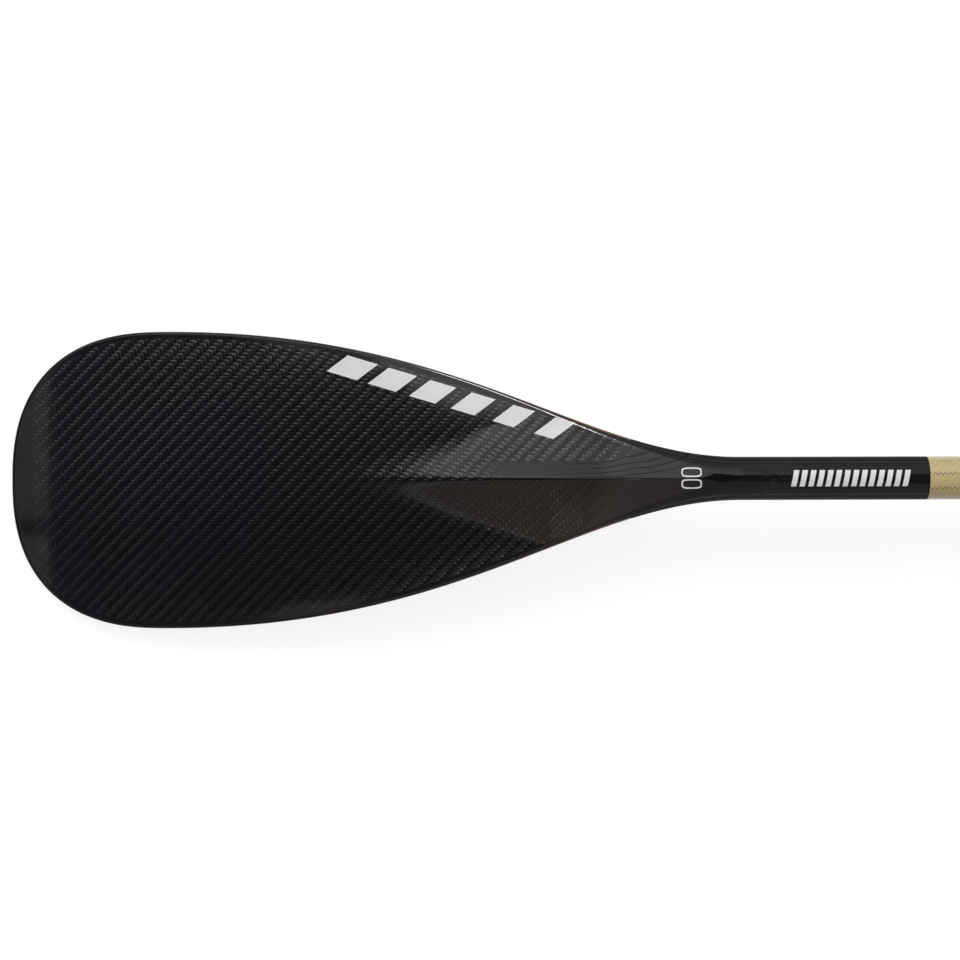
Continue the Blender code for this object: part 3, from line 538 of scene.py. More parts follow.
# %% The thickness of the blade
EDGE_THICKNESS = 0.0032
THIN_EDGE_LENGTH = 0.250
EDGE_GROWTH_POWER = 3.0
PLATE_THICKNESS = 0.0066
FLAT_FACE_LENGTH = 0.185
RIDGE_HALF_WIDTH = 0.003
RIDGE_SPREAD = 0.25
RIDGE_RISE_POWER = 1.55
RIDGE_HOLLOW = 1.7
CREST_ROUND = 0.0022
CREST_ROUND_NECK = 0.0024
CREST_ROUND_FROM = 0.88
FLAT_BACK_LENGTH = 0.200
SPINE_RISE_POWER = 1.9


def ease(share):
    """A smooth step from 0 to 1."""
    share = min(1.0, max(0.0, share))
    return share * share * (3 - 2 * share)


def run_from(start, s):
    """Share of the way from a place on the blade to its round neck."""
    return min(1.0, max(0.0, (s - start) / (BLADE_LENGTH - start)))


def edge_height(s):
    """Half the thickness of the edge, and the radius that rounds it."""
    thin = EDGE_THICKNESS / 2
    return thin + (SHAFT_RADIUS - thin) * run_from(THIN_EDGE_LENGTH, s) ** EDGE_GROWTH_POWER


def plate_height(s, y):
    """Half the thickness without ridge and spine."""
    edge = edge_height(s)
    centre = max(edge, PLATE_THICKNESS / 2)
    ahead = max(0.0, 1 - s / TIP_LENGTH) ** TIP_POWER_ALONG
    reach = BLADE_WIDTH / 2 if ahead > 0 else width_at(OUTLINE, s)
    aside = min(1.0, abs(y) / reach) ** TIP_POWER_ACROSS
    return edge + (centre - edge) * (1 - min(1.0, ahead + aside))


def roof_height(s, y, power_face):
    """Height of one face over the middle plane, before its edge is rounded."""
    start, power = FLAT_BACK_LENGTH, SPINE_RISE_POWER
    if power_face:
        start, power = FLAT_FACE_LENGTH, RIDGE_RISE_POWER
    run = run_from(start, s)
    low = PLATE_THICKNESS / 2
    crest = low + (SHAFT_RADIUS - low) * run**power
    rise = max(0.0, crest - max(low, edge_height(s)))
    if rise == 0:
        return plate_height(s, y)
    spread = RIDGE_HALF_WIDTH + RIDGE_SPREAD * (s - start)
    softened_crest = CREST_ROUND_NECK * ease((run - CREST_ROUND_FROM) / (1 - CREST_ROUND_FROM))
    away = math.hypot(y, CREST_ROUND * (1 - run) + softened_crest) if power_face else abs(y)
    share = min(1.0, away / min(spread, width_at(OUTLINE, s)))
    if power_face:
        bump = (1 - share) ** (RIDGE_HOLLOW + (1 - RIDGE_HOLLOW) * run)
    else:
        bump = (1 + math.cos(math.pi * share)) / 2
    return plate_height(s, y) + rise * bump


def section_height(s, y, inset, power_face):
    """Height of one face over the middle plane, with that much taken off all round."""
    half = width_at(OUTLINE, s) - inset
    edge = edge_height(s) - inset
    past = min(1.0, max(0.0, (abs(y) - (half - edge)) / edge))
    return (roof_height(s, y, power_face) - inset) * math.sqrt(1 - past**2)


print(f"the ridge stands {roof_height(0.4, 0, True) * 1000:.1f} mm high 400 mm from the tip")

# %% [markdown]
# The blade is raked: it bends forward by 10 degrees over the last 80 mm before the neck. One
# function carries a point from the flat drawing into the paddle's frame.

# %% Rake the blade
BLADE_RAKE_DEG = 10.0
BEND_LENGTH = 0.080
BEND_TO_NECK_LENGTH = 0.020
SLEEVE_LENGTH = 0.025
NECK_LENGTH = 0.0875
SLEEVE_END = BLADE_LENGTH + SLEEVE_LENGTH


def on_blade(s, y, height):
    """The point at a distance from the tip, across the blade and above its middle plane."""
    behind = SLEEVE_END - s
    straight_length = SLEEVE_LENGTH + BEND_TO_NECK_LENGTH
    bend_radius = BEND_LENGTH / math.radians(BLADE_RAKE_DEG)
    straight = min(behind, straight_length)
    angle = min(BEND_LENGTH, max(0.0, behind - straight_length)) / bend_radius
    beyond = max(0.0, behind - straight_length - BEND_LENGTH)
    x = -NECK_LENGTH - straight - bend_radius * math.sin(angle) - beyond * math.cos(angle)
    z = -bend_radius * (1 - math.cos(angle)) - beyond * math.sin(angle)
    return Vector((x - height * math.sin(angle), y, z + height * math.cos(angle)))


print("the tip lies at", tuple(TO_WORLD @ on_blade(0, 0, 0)))

# %% [markdown]
# A face of the blade is a grid. Its rows are close together at the tip, where the outline
# turns quickly, and its columns are close together at the rim, where the edge is rounded.
# The grid is doubled to give the skin its thickness, and every vertex is then moved to its
# place by the formulas. That keeps the surface as smooth as the drawing.

# %% Make a skin from two grids
SKIN_THICKNESS = 0.0008
HAIRLINE = 0.00003
TIP_ROWS = 110
FLANK_ROWS = 190
THROAT_ROWS = 62
FACE_COLUMNS = 96
RAIL_LENGTH = 0.385
RAIL_WIDTH = 0.0042
RAIL_TAPER_LENGTH = 0.060
RAIL_END_WIDTH = 0.0008
RAIL_RUNOUT_LENGTH = 0.001


def rail_width(s):
    """Width of the rail, which tapers before its end."""
    share = ease((RAIL_LENGTH - s) / RAIL_TAPER_LENGTH)
    return RAIL_END_WIDTH + (RAIL_WIDTH - RAIL_END_WIDTH) * share


def rail_room(s):
    """How far the skins stay back from the outline to make room for the rail."""
    beyond = (s - RAIL_LENGTH) / RAIL_RUNOUT_LENGTH
    return rail_width(s) * min(1.0, max(0.0, 1 - beyond))


def row_places(first):
    """Distances from the tip, close together near it."""
    reach = TIP_LENGTH - first
    tip = [first + reach * (row / TIP_ROWS) ** 2 for row in range(TIP_ROWS)]
    flank = np.linspace(TIP_LENGTH, RAIL_LENGTH, FLANK_ROWS + 1)
    throat = np.linspace(RAIL_LENGTH + RAIL_RUNOUT_LENGTH, SLEEVE_END, THROAT_ROWS + 1)
    return [*tip, *flank, *throat]


def doubled(bm):
    """Doubles a sheet into two that are joined at their rims. Gives the new one's vertices."""
    made = bmesh.ops.extrude_face_region(bm, geom=bm.faces[:], use_keep_orig=True)
    return {v for v in made["geom"] if isinstance(v, bmesh.types.BMVert)}


def doubled_sheet(rows, columns):
    """Two flat grids joined at their rims, with the vertices of the upper one."""
    bm = bmesh.new()
    bmesh.ops.create_grid(bm, x_segments=rows, y_segments=columns, size=1)
    return bm, doubled(bm)


def closed(bm):
    """Merges the vertices that met and turns every face outwards."""
    bmesh.ops.remove_doubles(bm, verts=bm.verts, dist=1e-7)
    bmesh.ops.dissolve_degenerate(bm, edges=bm.edges, dist=1e-7)
    bmesh.ops.recalc_face_normals(bm, faces=bm.faces)
    return bm


outer_edge = inset_outline(rail_room)
inner_edge = inset_outline(lambda s: max(SKIN_THICKNESS, rail_room(s)))
face_rows = row_places(float(outer_edge[0, 0]))


def blade_skin(power_face):
    """One skin of the blade with its half of the sleeve round the neck's tang."""
    sign = 1 if power_face else -1
    rows = len(face_rows) - 1
    bm, outside = doubled_sheet(rows, FACE_COLUMNS)
    for vert in bm.verts:
        s = face_rows[round((vert.co.x + 1) / 2 * rows)]
        edge, inset = (outer_edge, 0.0) if vert in outside else (inner_edge, SKIN_THICKNESS)
        share = math.copysign((1 - math.cos(vert.co.y * math.pi)) / 2, vert.co.y)
        y = share * width_at(edge, s)
        height = max(HAIRLINE / 2, section_height(s, y, inset, power_face))
        vert.co = on_blade(s, y, sign * height)
    return closed(bm)


# %% [markdown]
# Every finished piece goes through one function. Its mesh is moved from the paddle's own frame
# into the room's, it gets its finish and smooth shading, and it rides on its body. It stands
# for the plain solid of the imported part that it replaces.

# %% Finish a piece
SHARP_DEG = 35.0
made_pieces = []


def make_piece(name, bm, finish, stands_for=None, body="lower_paddle"):
    bmesh.ops.transform(bm, matrix=TO_WORLD, verts=bm.verts)
    piece = as_object(name, bm)
    piece.data.materials.append(finish)
    piece.data.shade_smooth()
    piece.data.set_sharp_from_angle(angle=math.radians(SHARP_DEG))
    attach(piece, body)
    if stands_for:
        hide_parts(stands_for)
    made_pieces.append(piece)
    print(f"{name}: {len(piece.data.polygons)} faces")


# %% [markdown]
# ## Carbon twill under clear coat
#
# In a two-by-two twill each tow passes over two tows and under two, one step aside on every
# row, which draws diagonals. On black fibre you don't see a tow's colour but the light on its
# back: short bright dashes where it leans towards a wall of the studio. So the weave is made as
# slopes: how much the surface leans along and across at each place. A tow that runs along the
# paddle is flat in the middle and turns down sharply at its edges, on one side more than on the
# other, and it's pressed down where it dives under the next tow. The tows across are flatter.
# Each float is tilted a little by chance. The clear coat over them keeps its own flat normal.

# %% The slopes of a twill
TOW = 0.00205
CROWN_SLOPE = 0.28
EDGE_POWER_SHARE = 0.7
LOWER_SHARE = 0.40
TOW_SLANT = 0.22
FLAT_SHARE = 0.30
ARCH_SLOPE = 0.06
FLAT_ARCH_SHARE = 0.7
TOW_TILT = 0.03


def chance_of(cell):
    """A chance number from 0 to 1 for each cell of a pattern."""
    return cell.node("ShaderNodeTexWhiteNoise", {"Vector": cell}, noise_dimensions="2D")


def twill(u, v, tow=TOW):
    """Slopes along u and v of a two-by-two twill, and 1 where the tow along u is on top."""
    column, row = (u / tow).floor(), (v / tow).floor()
    place_u, place_v = u / tow - column - 0.5, v / tow - row - 0.5
    order = (column - row) % 4
    along_u = order.below(1.5)
    along_v = 1 - along_u
    across = (along_u * place_v + along_v * place_u) * 2
    travel_u = (order + place_u + 0.5) / 2
    travel_v = (3 - order + place_v + 0.5) / 2
    travel = along_u * travel_u + along_v * travel_v
    middle = travel * 2 - 1
    round_back = (across + across * across * across) * 0.5 * FLAT_SHARE
    edge = (across - middle * TOW_SLANT).least(1.0).most(-1.0)
    lower = 1 - edge.below(0.0) * (1 - LOWER_SHARE)
    sharp = edge * (1 - EDGE_POWER_SHARE + edge * edge * EDGE_POWER_SHARE) * lower
    held = 1 - middle * middle
    crown = (along_u * sharp + along_v * round_back) * -CROWN_SLOPE
    crown = crown * held * held + (chance_of(join(column, row)) - 0.5) * TOW_TILT
    arch = (travel * math.pi).cosine() * ARCH_SLOPE
    slope_u = along_u * arch + along_v * crown
    slope_v = along_u * crown + along_v * arch * FLAT_ARCH_SHARE
    return slope_u, slope_v, along_u


def leaning(start, slope_x, slope_y, slope_z=0.0):
    """The surface's normal, leaning back along the slopes of a pattern in the room's axes."""
    normal = start.node("ShaderNodeNewGeometry", output="Normal")
    slope = join(slope_x, slope_y, slope_z)
    lean = start.node("ShaderNodeVectorMath", {0: normal, 1: slope}, operation="SUBTRACT")
    return start.node("ShaderNodeVectorMath", {0: lean}, operation="NORMALIZE")


def leaning_round(start, slope_along, slope_around):
    """The same for a tube, whose pattern lies on its map along and around."""
    normal = start.node("ShaderNodeNewGeometry", output="Normal")
    settings = {"direction_type": "UV_MAP", "uv_map": "along_and_around"}
    along = start.node("ShaderNodeTangent", **settings)
    around = start.node("ShaderNodeVectorMath", {0: normal, 1: along}, operation="CROSS_PRODUCT")
    lean = normal
    for way, slope in ((along, slope_along), (around, slope_around)):
        part = start.node("ShaderNodeVectorMath", {0: way, "Scale": slope}, operation="SCALE")
        lean = start.node("ShaderNodeVectorMath", {0: lean, 1: part}, operation="SUBTRACT")
    return start.node("ShaderNodeVectorMath", {0: lean}, operation="NORMALIZE")


# %% [markdown]
# Round the throat the clear coat was sanded, and hairpin lines show where one ply after another
# was cut through. A few pale specks mark the joint with the neck. Where a surface faces sideways
# its coat is thinned, which is painted shade that darkens the steep sides.

# %% Lines, specks and streaks
TIP_X = cad_low.x
JOINT_X = (TO_WORLD @ Vector((-NECK_LENGTH, 0, 0))).x
PATCH_WIDTH = 0.0103
PLY_MIDDLE = (0.3433, 0.0199)
PLY_STRETCH = 4.7
PLY_PITCH = 0.0140
PLY_WAVER, PLY_WAVER_SIZE = 1.2, 0.02
PLY_LINE = (0.0001, 0.00035)
PLY_FROM, PLY_REACH, PLY_FADE = (-0.015, 0.01), (0.040, 0.044), (0.085, 0.11)
PLY_RIGHT_SHARE, PLY_SIDES = 0.2, (-0.002, 0.002)
SEAM_WIDTH, SEAM_SHARE, SEAM_ALONG = 0.0002, 0.8, (0.290, 0.345, 0.006)
SPECK_SIZE, SPECK_STEP, SPECK_SHARE = 0.0011, (0.58, 0.66), 0.6
SPECK_BAND = (-0.010, -0.002, 0.020)
STREAK_SIZE, STREAK_STRETCH = 0.0006, 0.02
# Painted shade on steep sides: the share of coat they keep, and how far up they face to keep it all.
SIDE_SHADE_KEPT, SIDE_SHADE_FACING = 0.22, (0.55, 0.80)


def ply_lines(from_tip, y, place):
    """1 on the thin hairpin lines where the throat was sanded through, ply after ply."""
    ahead = from_tip - PLY_MIDDLE[0]
    aside = (abs(y) - PLY_MIDDLE[1]) * PLY_STRETCH
    reach = (ahead * ahead + aside * aside).root()
    steep = (ahead * ahead + aside * aside * PLY_STRETCH**2).root() / reach
    waver = (noise(place, PLY_WAVER_SIZE, detail=3.0) - 0.5) * PLY_WAVER
    off = abs((reach / PLY_PITCH + waver) % 1 - 0.5) * PLY_PITCH / steep
    there = ahead.step(*PLY_FROM) * reach.step(*PLY_REACH) * (1 - reach.step(*PLY_FADE))
    seam = y.band(PATCH_WIDTH, PATCH_WIDTH + SEAM_WIDTH, SEAM_WIDTH) * from_tip.band(*SEAM_ALONG)
    sides = PLY_RIGHT_SHARE + (1 - PLY_RIGHT_SHARE) * y.step(*PLY_SIDES)
    return ((1 - off.step(*PLY_LINE)) * there * sides).most(seam * SEAM_SHARE)


def specks(place, x):
    """Share of pale specks where the neck was rubbed down over its joint with the blade."""
    spots = noise(place, SPECK_SIZE, detail=4.0, roughness=0.7).step(*SPECK_STEP)
    return spots * (x - JOINT_X).band(*SPECK_BAND) * SPECK_SHARE


def streaks_in(place, size=STREAK_SIZE, stretch=STREAK_STRETCH):
    """Fine noise drawn out along the paddle."""
    x, y, z = split(place)
    return noise(join(x * stretch, y, z), size, detail=3.0)


def flank_polish(facing_z):
    """Share of the coat that a surface keeps, by how much it faces up or down: painted side shade."""
    return SIDE_SHADE_KEPT + (1 - SIDE_SHADE_KEPT) * abs(facing_z).step(*SIDE_SHADE_FACING)


# %% [markdown]
# The blade's finish is a mix of two shaders. Cloth shows the twill under its coat. Lengthwise
# fibre, without weave, covers the band of bare resin at the tip and the throat, where the
# plies run into the neck. The mix also says how deep the cloth lies: most of it is drowned in
# resin on the flat parts, above all on the right half, and on the left side of the ridge the
# lengthwise tows stand out as ropes. A smooth patch lies beside the crest.

# %% The finish of the blade
FIBRE_DARK = rgb(0.0004, 0.0004, 0.0005)
FIBRE_PALE = rgb(0.0014, 0.0014, 0.0015)
SPECK = rgb(0.10, 0.10, 0.11)
WEAVE_STARTS, WEAVE_ENDS = (0.0130, 0.0160), (0.320, 0.392)
PATCH_STARTS, PATCH_SOFT = (0.283, 0.312), 0.0006
PLY_DEPTH = 0.75
EVEN_SHARE, CROSS_SHARE = 0.50, 0.30
ROPE_FACING, FLAT_FACING = (-0.10, -0.03), (0.03, 0.07)
BURIED, BURIED_EDGES = (0.55, 0.25), (-0.045, 0.030)


def blade_finish(start, place):
    x, y, z = split(place)
    from_tip = x - TIP_X
    woven = from_tip.step(*WEAVE_STARTS) * (1 - from_tip.step(*WEAVE_ENDS))
    bare = 1 - from_tip.step(*PATCH_STARTS) * y.band(0.0, PATCH_WIDTH, PATCH_SOFT)
    slope_x, slope_y, along_x = twill(x, y)
    streaks = streaks_in(place)
    shade = along_x * 0.35 + noise(place, 0.03) * 0.4 + streaks * 0.25
    colour = blend_colours(shade, FIBRE_DARK, FIBRE_PALE)
    colour = blend_colours(specks(place, x), colour, SPECK)
    _, facing_y, facing_z = way_faced(start)
    # The coat is thinned where the blade faces sideways: painted shade.
    coat = (1 - ply_lines(from_tip, y, place) * PLY_DEPTH) * flank_polish(facing_z)
    cloth = gloss(
        start,
        Base_Color=colour,
        Roughness=0.13,
        Specular_IOR_Level=1.0,
        Normal=leaning(start, slope_x * bare, slope_y * bare),
        Coat_Weight=coat * 0.5,
        Coat_Roughness=0.03,
    )
    lengthwise = gloss(
        start,
        Base_Color=colour,
        Roughness=0.5,
        Specular_IOR_Level=0.0,
        Coat_Weight=coat * (0.76 + streaks * 0.48),
        Coat_Roughness=0.05,
    )
    roped = along_x + (1 - along_x) * CROSS_SHARE
    ropes = bare * facing_y.step(*ROPE_FACING)
    buried = BURIED[0] + (BURIED[1] - BURIED[0]) * y.step(*BURIED_EDGES)
    flat = 1 - abs(facing_y).step(*FLAT_FACING)
    share = woven * (EVEN_SHARE + (roped - EVEN_SHARE) * ropes) * (1 - flat * buried)
    return start.node("ShaderNodeMixShader", {0: share, 1: lengthwise, 2: cloth})


# %% [markdown]
# The rail is dark resin. Where it faces sideways, at its outermost edge, it is painted reddish
# brown: a painted reflection of warm light on the rounded edge.

# %% The finish of the rail
RAIL_DARK = rgb(0.004, 0.004, 0.004)
RIM_REFLECTION_RED = rgb(0.26, 0.11, 0.055)


def rail_finish(start, place):
    facing_z = way_faced(start)[2]
    # Painted reflection: the part of the rail that faces sideways turns reddish brown, with lumps.
    outer = 1 - abs(facing_z).step(0.35, 0.85)
    lumps = noise(place, 0.004)
    return gloss(
        start,
        Base_Color=blend_colours(outer * (0.5 + lumps * 0.5), RAIL_DARK, RIM_REFLECTION_RED),
        Roughness=0.3,
        Specular_IOR_Level=0.1,
        # Painted shade: less coat where the rail faces sideways.
        Coat_Weight=0.8 * flank_polish(facing_z),
        Coat_Roughness=0.06,
    )


# %% [markdown]
# ## Paint and woven aramid
#
# The neck's paint is gloss black with a faint lengthwise grain, and it has pale specks where
# it was rubbed down over the joint. Aramid yarns are pale gold. Every ninth part of the way
# round the shaft, a row of darker stitches shows through the resin as a broken zigzag.

# %% Finishes of the neck and the lower shaft
PAINT_DARK = rgb(0.0008, 0.0008, 0.0009)
PAINT_PALE = rgb(0.0030, 0.0028, 0.0027)
GOLD = rgb(0.62, 0.53, 0.25)
GOLD_DARK = rgb(0.46, 0.385, 0.185)
STITCH = rgb(0.15, 0.115, 0.05)
ARAMID_TOWS_ROUND = 64
STITCH_ROWS = 9
STITCH_OFFSET_DEG = 11.7
STITCH_PERIOD = 0.0030
STITCH_SWING = 0.0008
STITCH_RAGGED = 0.0016
STITCH_LINE, STITCH_GAPS = (0.0002, 0.0006), (0.36, 0.50)


def neck_finish(start, place):
    streaks = streaks_in(place)
    colour = blend_colours(streaks, PAINT_DARK, PAINT_PALE)
    return gloss(
        start,
        Base_Color=blend_colours(specks(place, split(place)[0]), colour, SPECK),
        Roughness=0.5,
        Specular_IOR_Level=0.0,
        # Painted shade: less coat where the neck faces sideways.
        Coat_Weight=(0.90 + streaks * 0.2) * flank_polish(way_faced(start)[2]),
        Coat_Roughness=0.08,
    )


def mapped_twill(start, radius, tows_round):
    """A twill on a tube's map. A whole number of its tows goes round. Gives the map as well."""
    along, around, _ = split(start.node("ShaderNodeUVMap", uv_map="along_and_around"))
    return along, around, *twill(along, around, 2 * math.pi * radius / tows_round)


def aramid_finish(start, place):
    along, around, slope_along, slope_around, warp = mapped_twill(
        start, SHAFT_RADIUS, ARAMID_TOWS_ROUND
    )
    row_width = 2 * math.pi * SHAFT_RADIUS / STITCH_ROWS
    turned_round = around / row_width - STITCH_OFFSET_DEG / 360 * STITCH_ROWS + 0.5
    row = turned_round.floor() % STITCH_ROWS
    aside = (turned_round - turned_round.floor() - 0.5) * row_width
    swing = abs((along / STITCH_PERIOD) % 1 - 0.5) * 4 - 1
    ragged = noise(place, 0.0011, detail=3.0, roughness=0.7)
    line = abs(aside - swing * STITCH_SWING + (ragged - 0.5) * STITCH_RAGGED)
    weight = 0.45 + 0.55 * abs((row * 0.37) % 1 - 0.5) * 2
    stitch = (1 - line.step(*STITCH_LINE)) * ragged.step(*STITCH_GAPS) * weight
    shade = noise(place, 0.0016, detail=3.0) * 0.5 + warp * 0.25
    return gloss(
        start,
        Base_Color=blend_colours(stitch, blend_colours(shade, GOLD, GOLD_DARK), STITCH),
        Roughness=0.42,
        Normal=leaning_round(start, slope_along * 0.35, slope_around * 0.35),
        Coat_Weight=0.6,
        Coat_Roughness=0.10,
    )


# %% [markdown]
# ## The other finishes
#
# Moulded nylon has a fine grain that scatters light. Turned steel and brass carry faint tool
# lines.

# %% Finishes of nylon and metal
NYLON_DARK = rgb(0.010, 0.010, 0.011)
NYLON_PALE = rgb(0.022, 0.022, 0.024)


def darker(colour, share):
    return rgb(*(part * share for part in colour[:3]))


def nylon_finish(start, place, roughness):
    grain = noise(place, 0.00035)
    wear = noise(place, 0.006, detail=4.0)
    bump = {"Strength": 0.25, "Distance": 0.0001, "Height": grain}
    return gloss(
        start,
        Base_Color=blend_colours(wear, NYLON_DARK, NYLON_PALE),
        Roughness=roughness + (wear - 0.5) * 0.16,
        Normal=start.node("ShaderNodeBump", bump),
    )


def metal_finish(start, place, colour, roughness):
    x, y, z = split(place)
    lines = noise(join(x, y * 0.05, z), 0.0004, detail=3.0)
    shade = noise(place, 0.003, detail=3.0)
    return gloss(
        start,
        Base_Color=blend_colours(shade, colour, darker(colour, 0.8)),
        Metallic=1.0,
        Roughness=roughness + (lines - 0.5) * 0.2,
    )


# %% [markdown]
# The upper shaft is twill without the thick clear coat, so it looks flatter than the blade.
# The grip's twill is projected on its top and on its sides.

# %% Finishes of the upper shaft and the grip
EXTENSION_RADIUS = 0.0111
EXTENSION_TOWS_ROUND = 36
GRIP_TOW = 0.0020
FIBRE_BARE = rgb(0.003, 0.003, 0.003)
FIBRE_GRIP = rgb(0.002, 0.002, 0.002)


def extension_finish(start, place):
    _, _, slope_along, slope_around, warp = mapped_twill(
        start, EXTENSION_RADIUS, EXTENSION_TOWS_ROUND
    )
    rubbed = noise(place, 0.02, detail=4.0)
    return gloss(
        start,
        Base_Color=blend_colours(warp * 0.5 + rubbed * 0.5, FIBRE_BARE, FIBRE_PALE),
        Roughness=0.26 + rubbed * 0.1,
        Normal=leaning_round(start, slope_along, slope_around),
        Coat_Weight=0.5,
        Coat_Roughness=0.12,
    )


def grip_finish(start, place):
    x, y, z = split(place)
    side = abs(way_faced(start)[2]).below(0.5)
    slope_x, slope_other, warp = twill(x, y + (z - y) * side, GRIP_TOW)
    return gloss(
        start,
        Base_Color=blend_colours(warp, FIBRE_GRIP, FIBRE_PALE),
        Roughness=0.26,
        Normal=leaning(start, slope_x, slope_other * (1 - side), slope_other * side),
        Coat_Weight=0.9,
        Coat_Roughness=0.06,
    )


# %% [markdown]
# White ink is a little uneven. Foam shows its cells, each painted darker towards its hollow middle
# as painted shade, and a bare tube shows the print of the tape that it was wrapped in.

# %% Finishes of ink, foam and bare tube
INK = rgb(0.90, 0.90, 0.90)
INK_THIN = rgb(0.80, 0.80, 0.80)
TUBE_DARK = rgb(0.010, 0.010, 0.010)
TUBE_PALE = rgb(0.030, 0.030, 0.030)
TAPE_PITCH = 0.012
FOAM_CELL = 0.0006


def ink_finish(start, place):
    colour = blend_colours(noise(place, 0.004, detail=4.0), INK, INK_THIN)
    return gloss(start, Base_Color=colour, Roughness=0.35, Coat_Weight=0.8, Coat_Roughness=0.05)


def foam_finish(start, place, colour):
    cells = start.node("ShaderNodeTexVoronoi", {"Vector": place, "Scale": 1 / FOAM_CELL})
    bump = start.node("ShaderNodeBump", {"Strength": 0.5, "Distance": 0.0002, "Height": cells})
    # Painted shade: each cell is darker towards its sunken middle.
    shade = blend_colours(cells, darker(colour, 0.55), colour)
    return gloss(start, Base_Color=shade, Roughness=0.9, Normal=bump)


def bare_finish(start, place):
    """Carbon tube as it leaves the mandrel, with the print of the wrapping tape."""
    tape = abs((split(place)[0] / TAPE_PITCH) % 1 - 0.5).step(0.44, 0.49)
    shade = tape * 0.5 + streaks_in(place, 0.0008, 0.05) * 0.5
    colour = blend_colours(shade, TUBE_DARK, TUBE_PALE)
    return gloss(start, Base_Color=colour, Roughness=0.42 + tape * 0.15)


# %% [markdown]
# Both skins of the blade share one finish.

# %% Skin the blade
clear_coated_twill = material("clear_coated_twill", blade_finish)
make_piece(
    "blade_power_face", blade_skin(True), clear_coated_twill, "power_face_skin"
)
make_piece(
    "blade_back_face", blade_skin(False), clear_coated_twill, "back_face_skin"
)

# %% [markdown]
# ## The rail round the edge
#
# A hard strip runs round the blade's edge. It fills the rounded edge between the two skins.
# Its rows stand square to the outline, and fourteen columns follow the round of the edge.

# %% Make the rail
RAIL_COLUMNS = 14
RAIL_SHARES = [(column / RAIL_COLUMNS) ** 2 for column in range(RAIL_COLUMNS + 1)]


def blade_rail():
    inner_curve = inset_outline(rail_width)
    index = np.arange(len(OUTLINE))
    rows = [np.interp(s, outer_edge[:, 0], index) for s in face_rows if s <= RAIL_LENGTH]
    last = len(rows) - 1
    bm, raised = doubled_sheet(2 * last, RAIL_COLUMNS)
    for vert in bm.verts:
        side = 1 if vert.co.x > 0 else -1
        row = rows[round(abs(vert.co.x) * last)]
        outer = np.array([np.interp(row, index, OUTLINE[:, axis]) for axis in (0, 1)])
        inner = np.array([np.interp(row, index, inner_curve[:, axis]) for axis in (0, 1)])
        share = RAIL_SHARES[round((vert.co.y + 1) / 2 * RAIL_COLUMNS)]
        s, half = outer * (1 - share) + inner * share
        deep = min(1.0, np.linalg.norm(inner - outer) * share / edge_height(s))
        rounding = math.sqrt(1 - (1 - deep) ** 2)
        height = rounding * roof_height(s, half, vert in raised)
        vert.co = on_blade(s, side * half, height if vert in raised else -height)
    return closed(bm)


make_piece("blade_rim", blade_rail(), material("cast_rail", rail_finish), "edge_rail")

# %% [markdown]
# ## Tubes
#
# Round pieces are turned: a profile of (distance along, radius) points is spun about the X
# axis.

# %% Turn a profile
ROUND_STEPS = 128
SMALL_STEPS = 64
SAME_PLACE = 1e-6
X_AXIS = Vector((1, 0, 0))


def turned(profile, steps=ROUND_STEPS):
    """A body turned about the X axis from (x, radius) points, closed or ending on the axis."""
    bm = bmesh.new()
    verts = [bm.verts.new((x, 0, radius)) for x, radius in profile]
    pairs = list(zip(verts, verts[1:]))
    if profile[0][1] > 0:
        pairs.append((verts[-1], verts[0]))
    edges = [bm.edges.new(pair) for pair in pairs]
    whole = 2 * math.pi
    spun = verts + edges
    bmesh.ops.spin(bm, geom=spun, axis=X_AXIS, angle=whole, steps=steps, use_merge=True)
    bmesh.ops.remove_doubles(bm, verts=bm.verts, dist=SAME_PLACE)
    bmesh.ops.recalc_face_normals(bm, faces=bm.faces)
    return bm


def chamfered_tube(start, end, inner, outer, chamfer):
    """Profile of a tube whose outer corners are broken."""
    return [
        (start, inner),
        (end, inner),
        (end, outer - chamfer),
        (end - chamfer, outer),
        (start + chamfer, outer),
        (start, outer - chamfer),
    ]


def corner(face, way, radius, rounding, points=6):
    """The round corner of a profile, from an end face that looks one way to the outside."""
    made = []
    for turn in np.linspace(0, math.pi / 2, points):
        along = way * rounding * (1 - math.sin(math.pi / 2 - turn))
        made.append((face - along, radius - rounding * (1 - math.sin(turn))))
    return made


def rod(start, end, radius):
    return turned([(start, 0), (start, radius), (end, radius), (end, 0)], SMALL_STEPS)


# %% [markdown]
# A tube also gets a map of its surface in metres, along and around, so that woven patterns can
# run round it. The pattern must fit the way round a whole number of times.


# %% Map a tube
def map_round(bm, radius):
    """A map in metres: along the X axis, and around it."""
    layer = bm.loops.layers.uv.new("along_and_around")
    for face in bm.faces:
        middle = face.calc_center_median()
        centre = math.atan2(middle.y, middle.z) % (2 * math.pi)
        for loop in face.loops:
            spot = loop.vert.co
            turn = math.atan2(spot.y, spot.z) - centre
            turn = (turn + math.pi) % (2 * math.pi) - math.pi
            loop[layer].uv = (spot.x, (centre + turn) * radius)
    return bm


# %% [markdown]
# Other pieces start as boxes. Bodies are joined and cut with Boolean operations, and sharp
# edges are rounded.


# %% Boxes, rounded edges and cuts
def box(low, high):
    bm = bmesh.new()
    bmesh.ops.create_cube(bm, size=1)
    low, high = Vector(low), Vector(high)
    bmesh.ops.scale(bm, vec=high - low, verts=bm.verts)
    bmesh.ops.translate(bm, vec=(low + high) / 2, verts=bm.verts)
    return bm


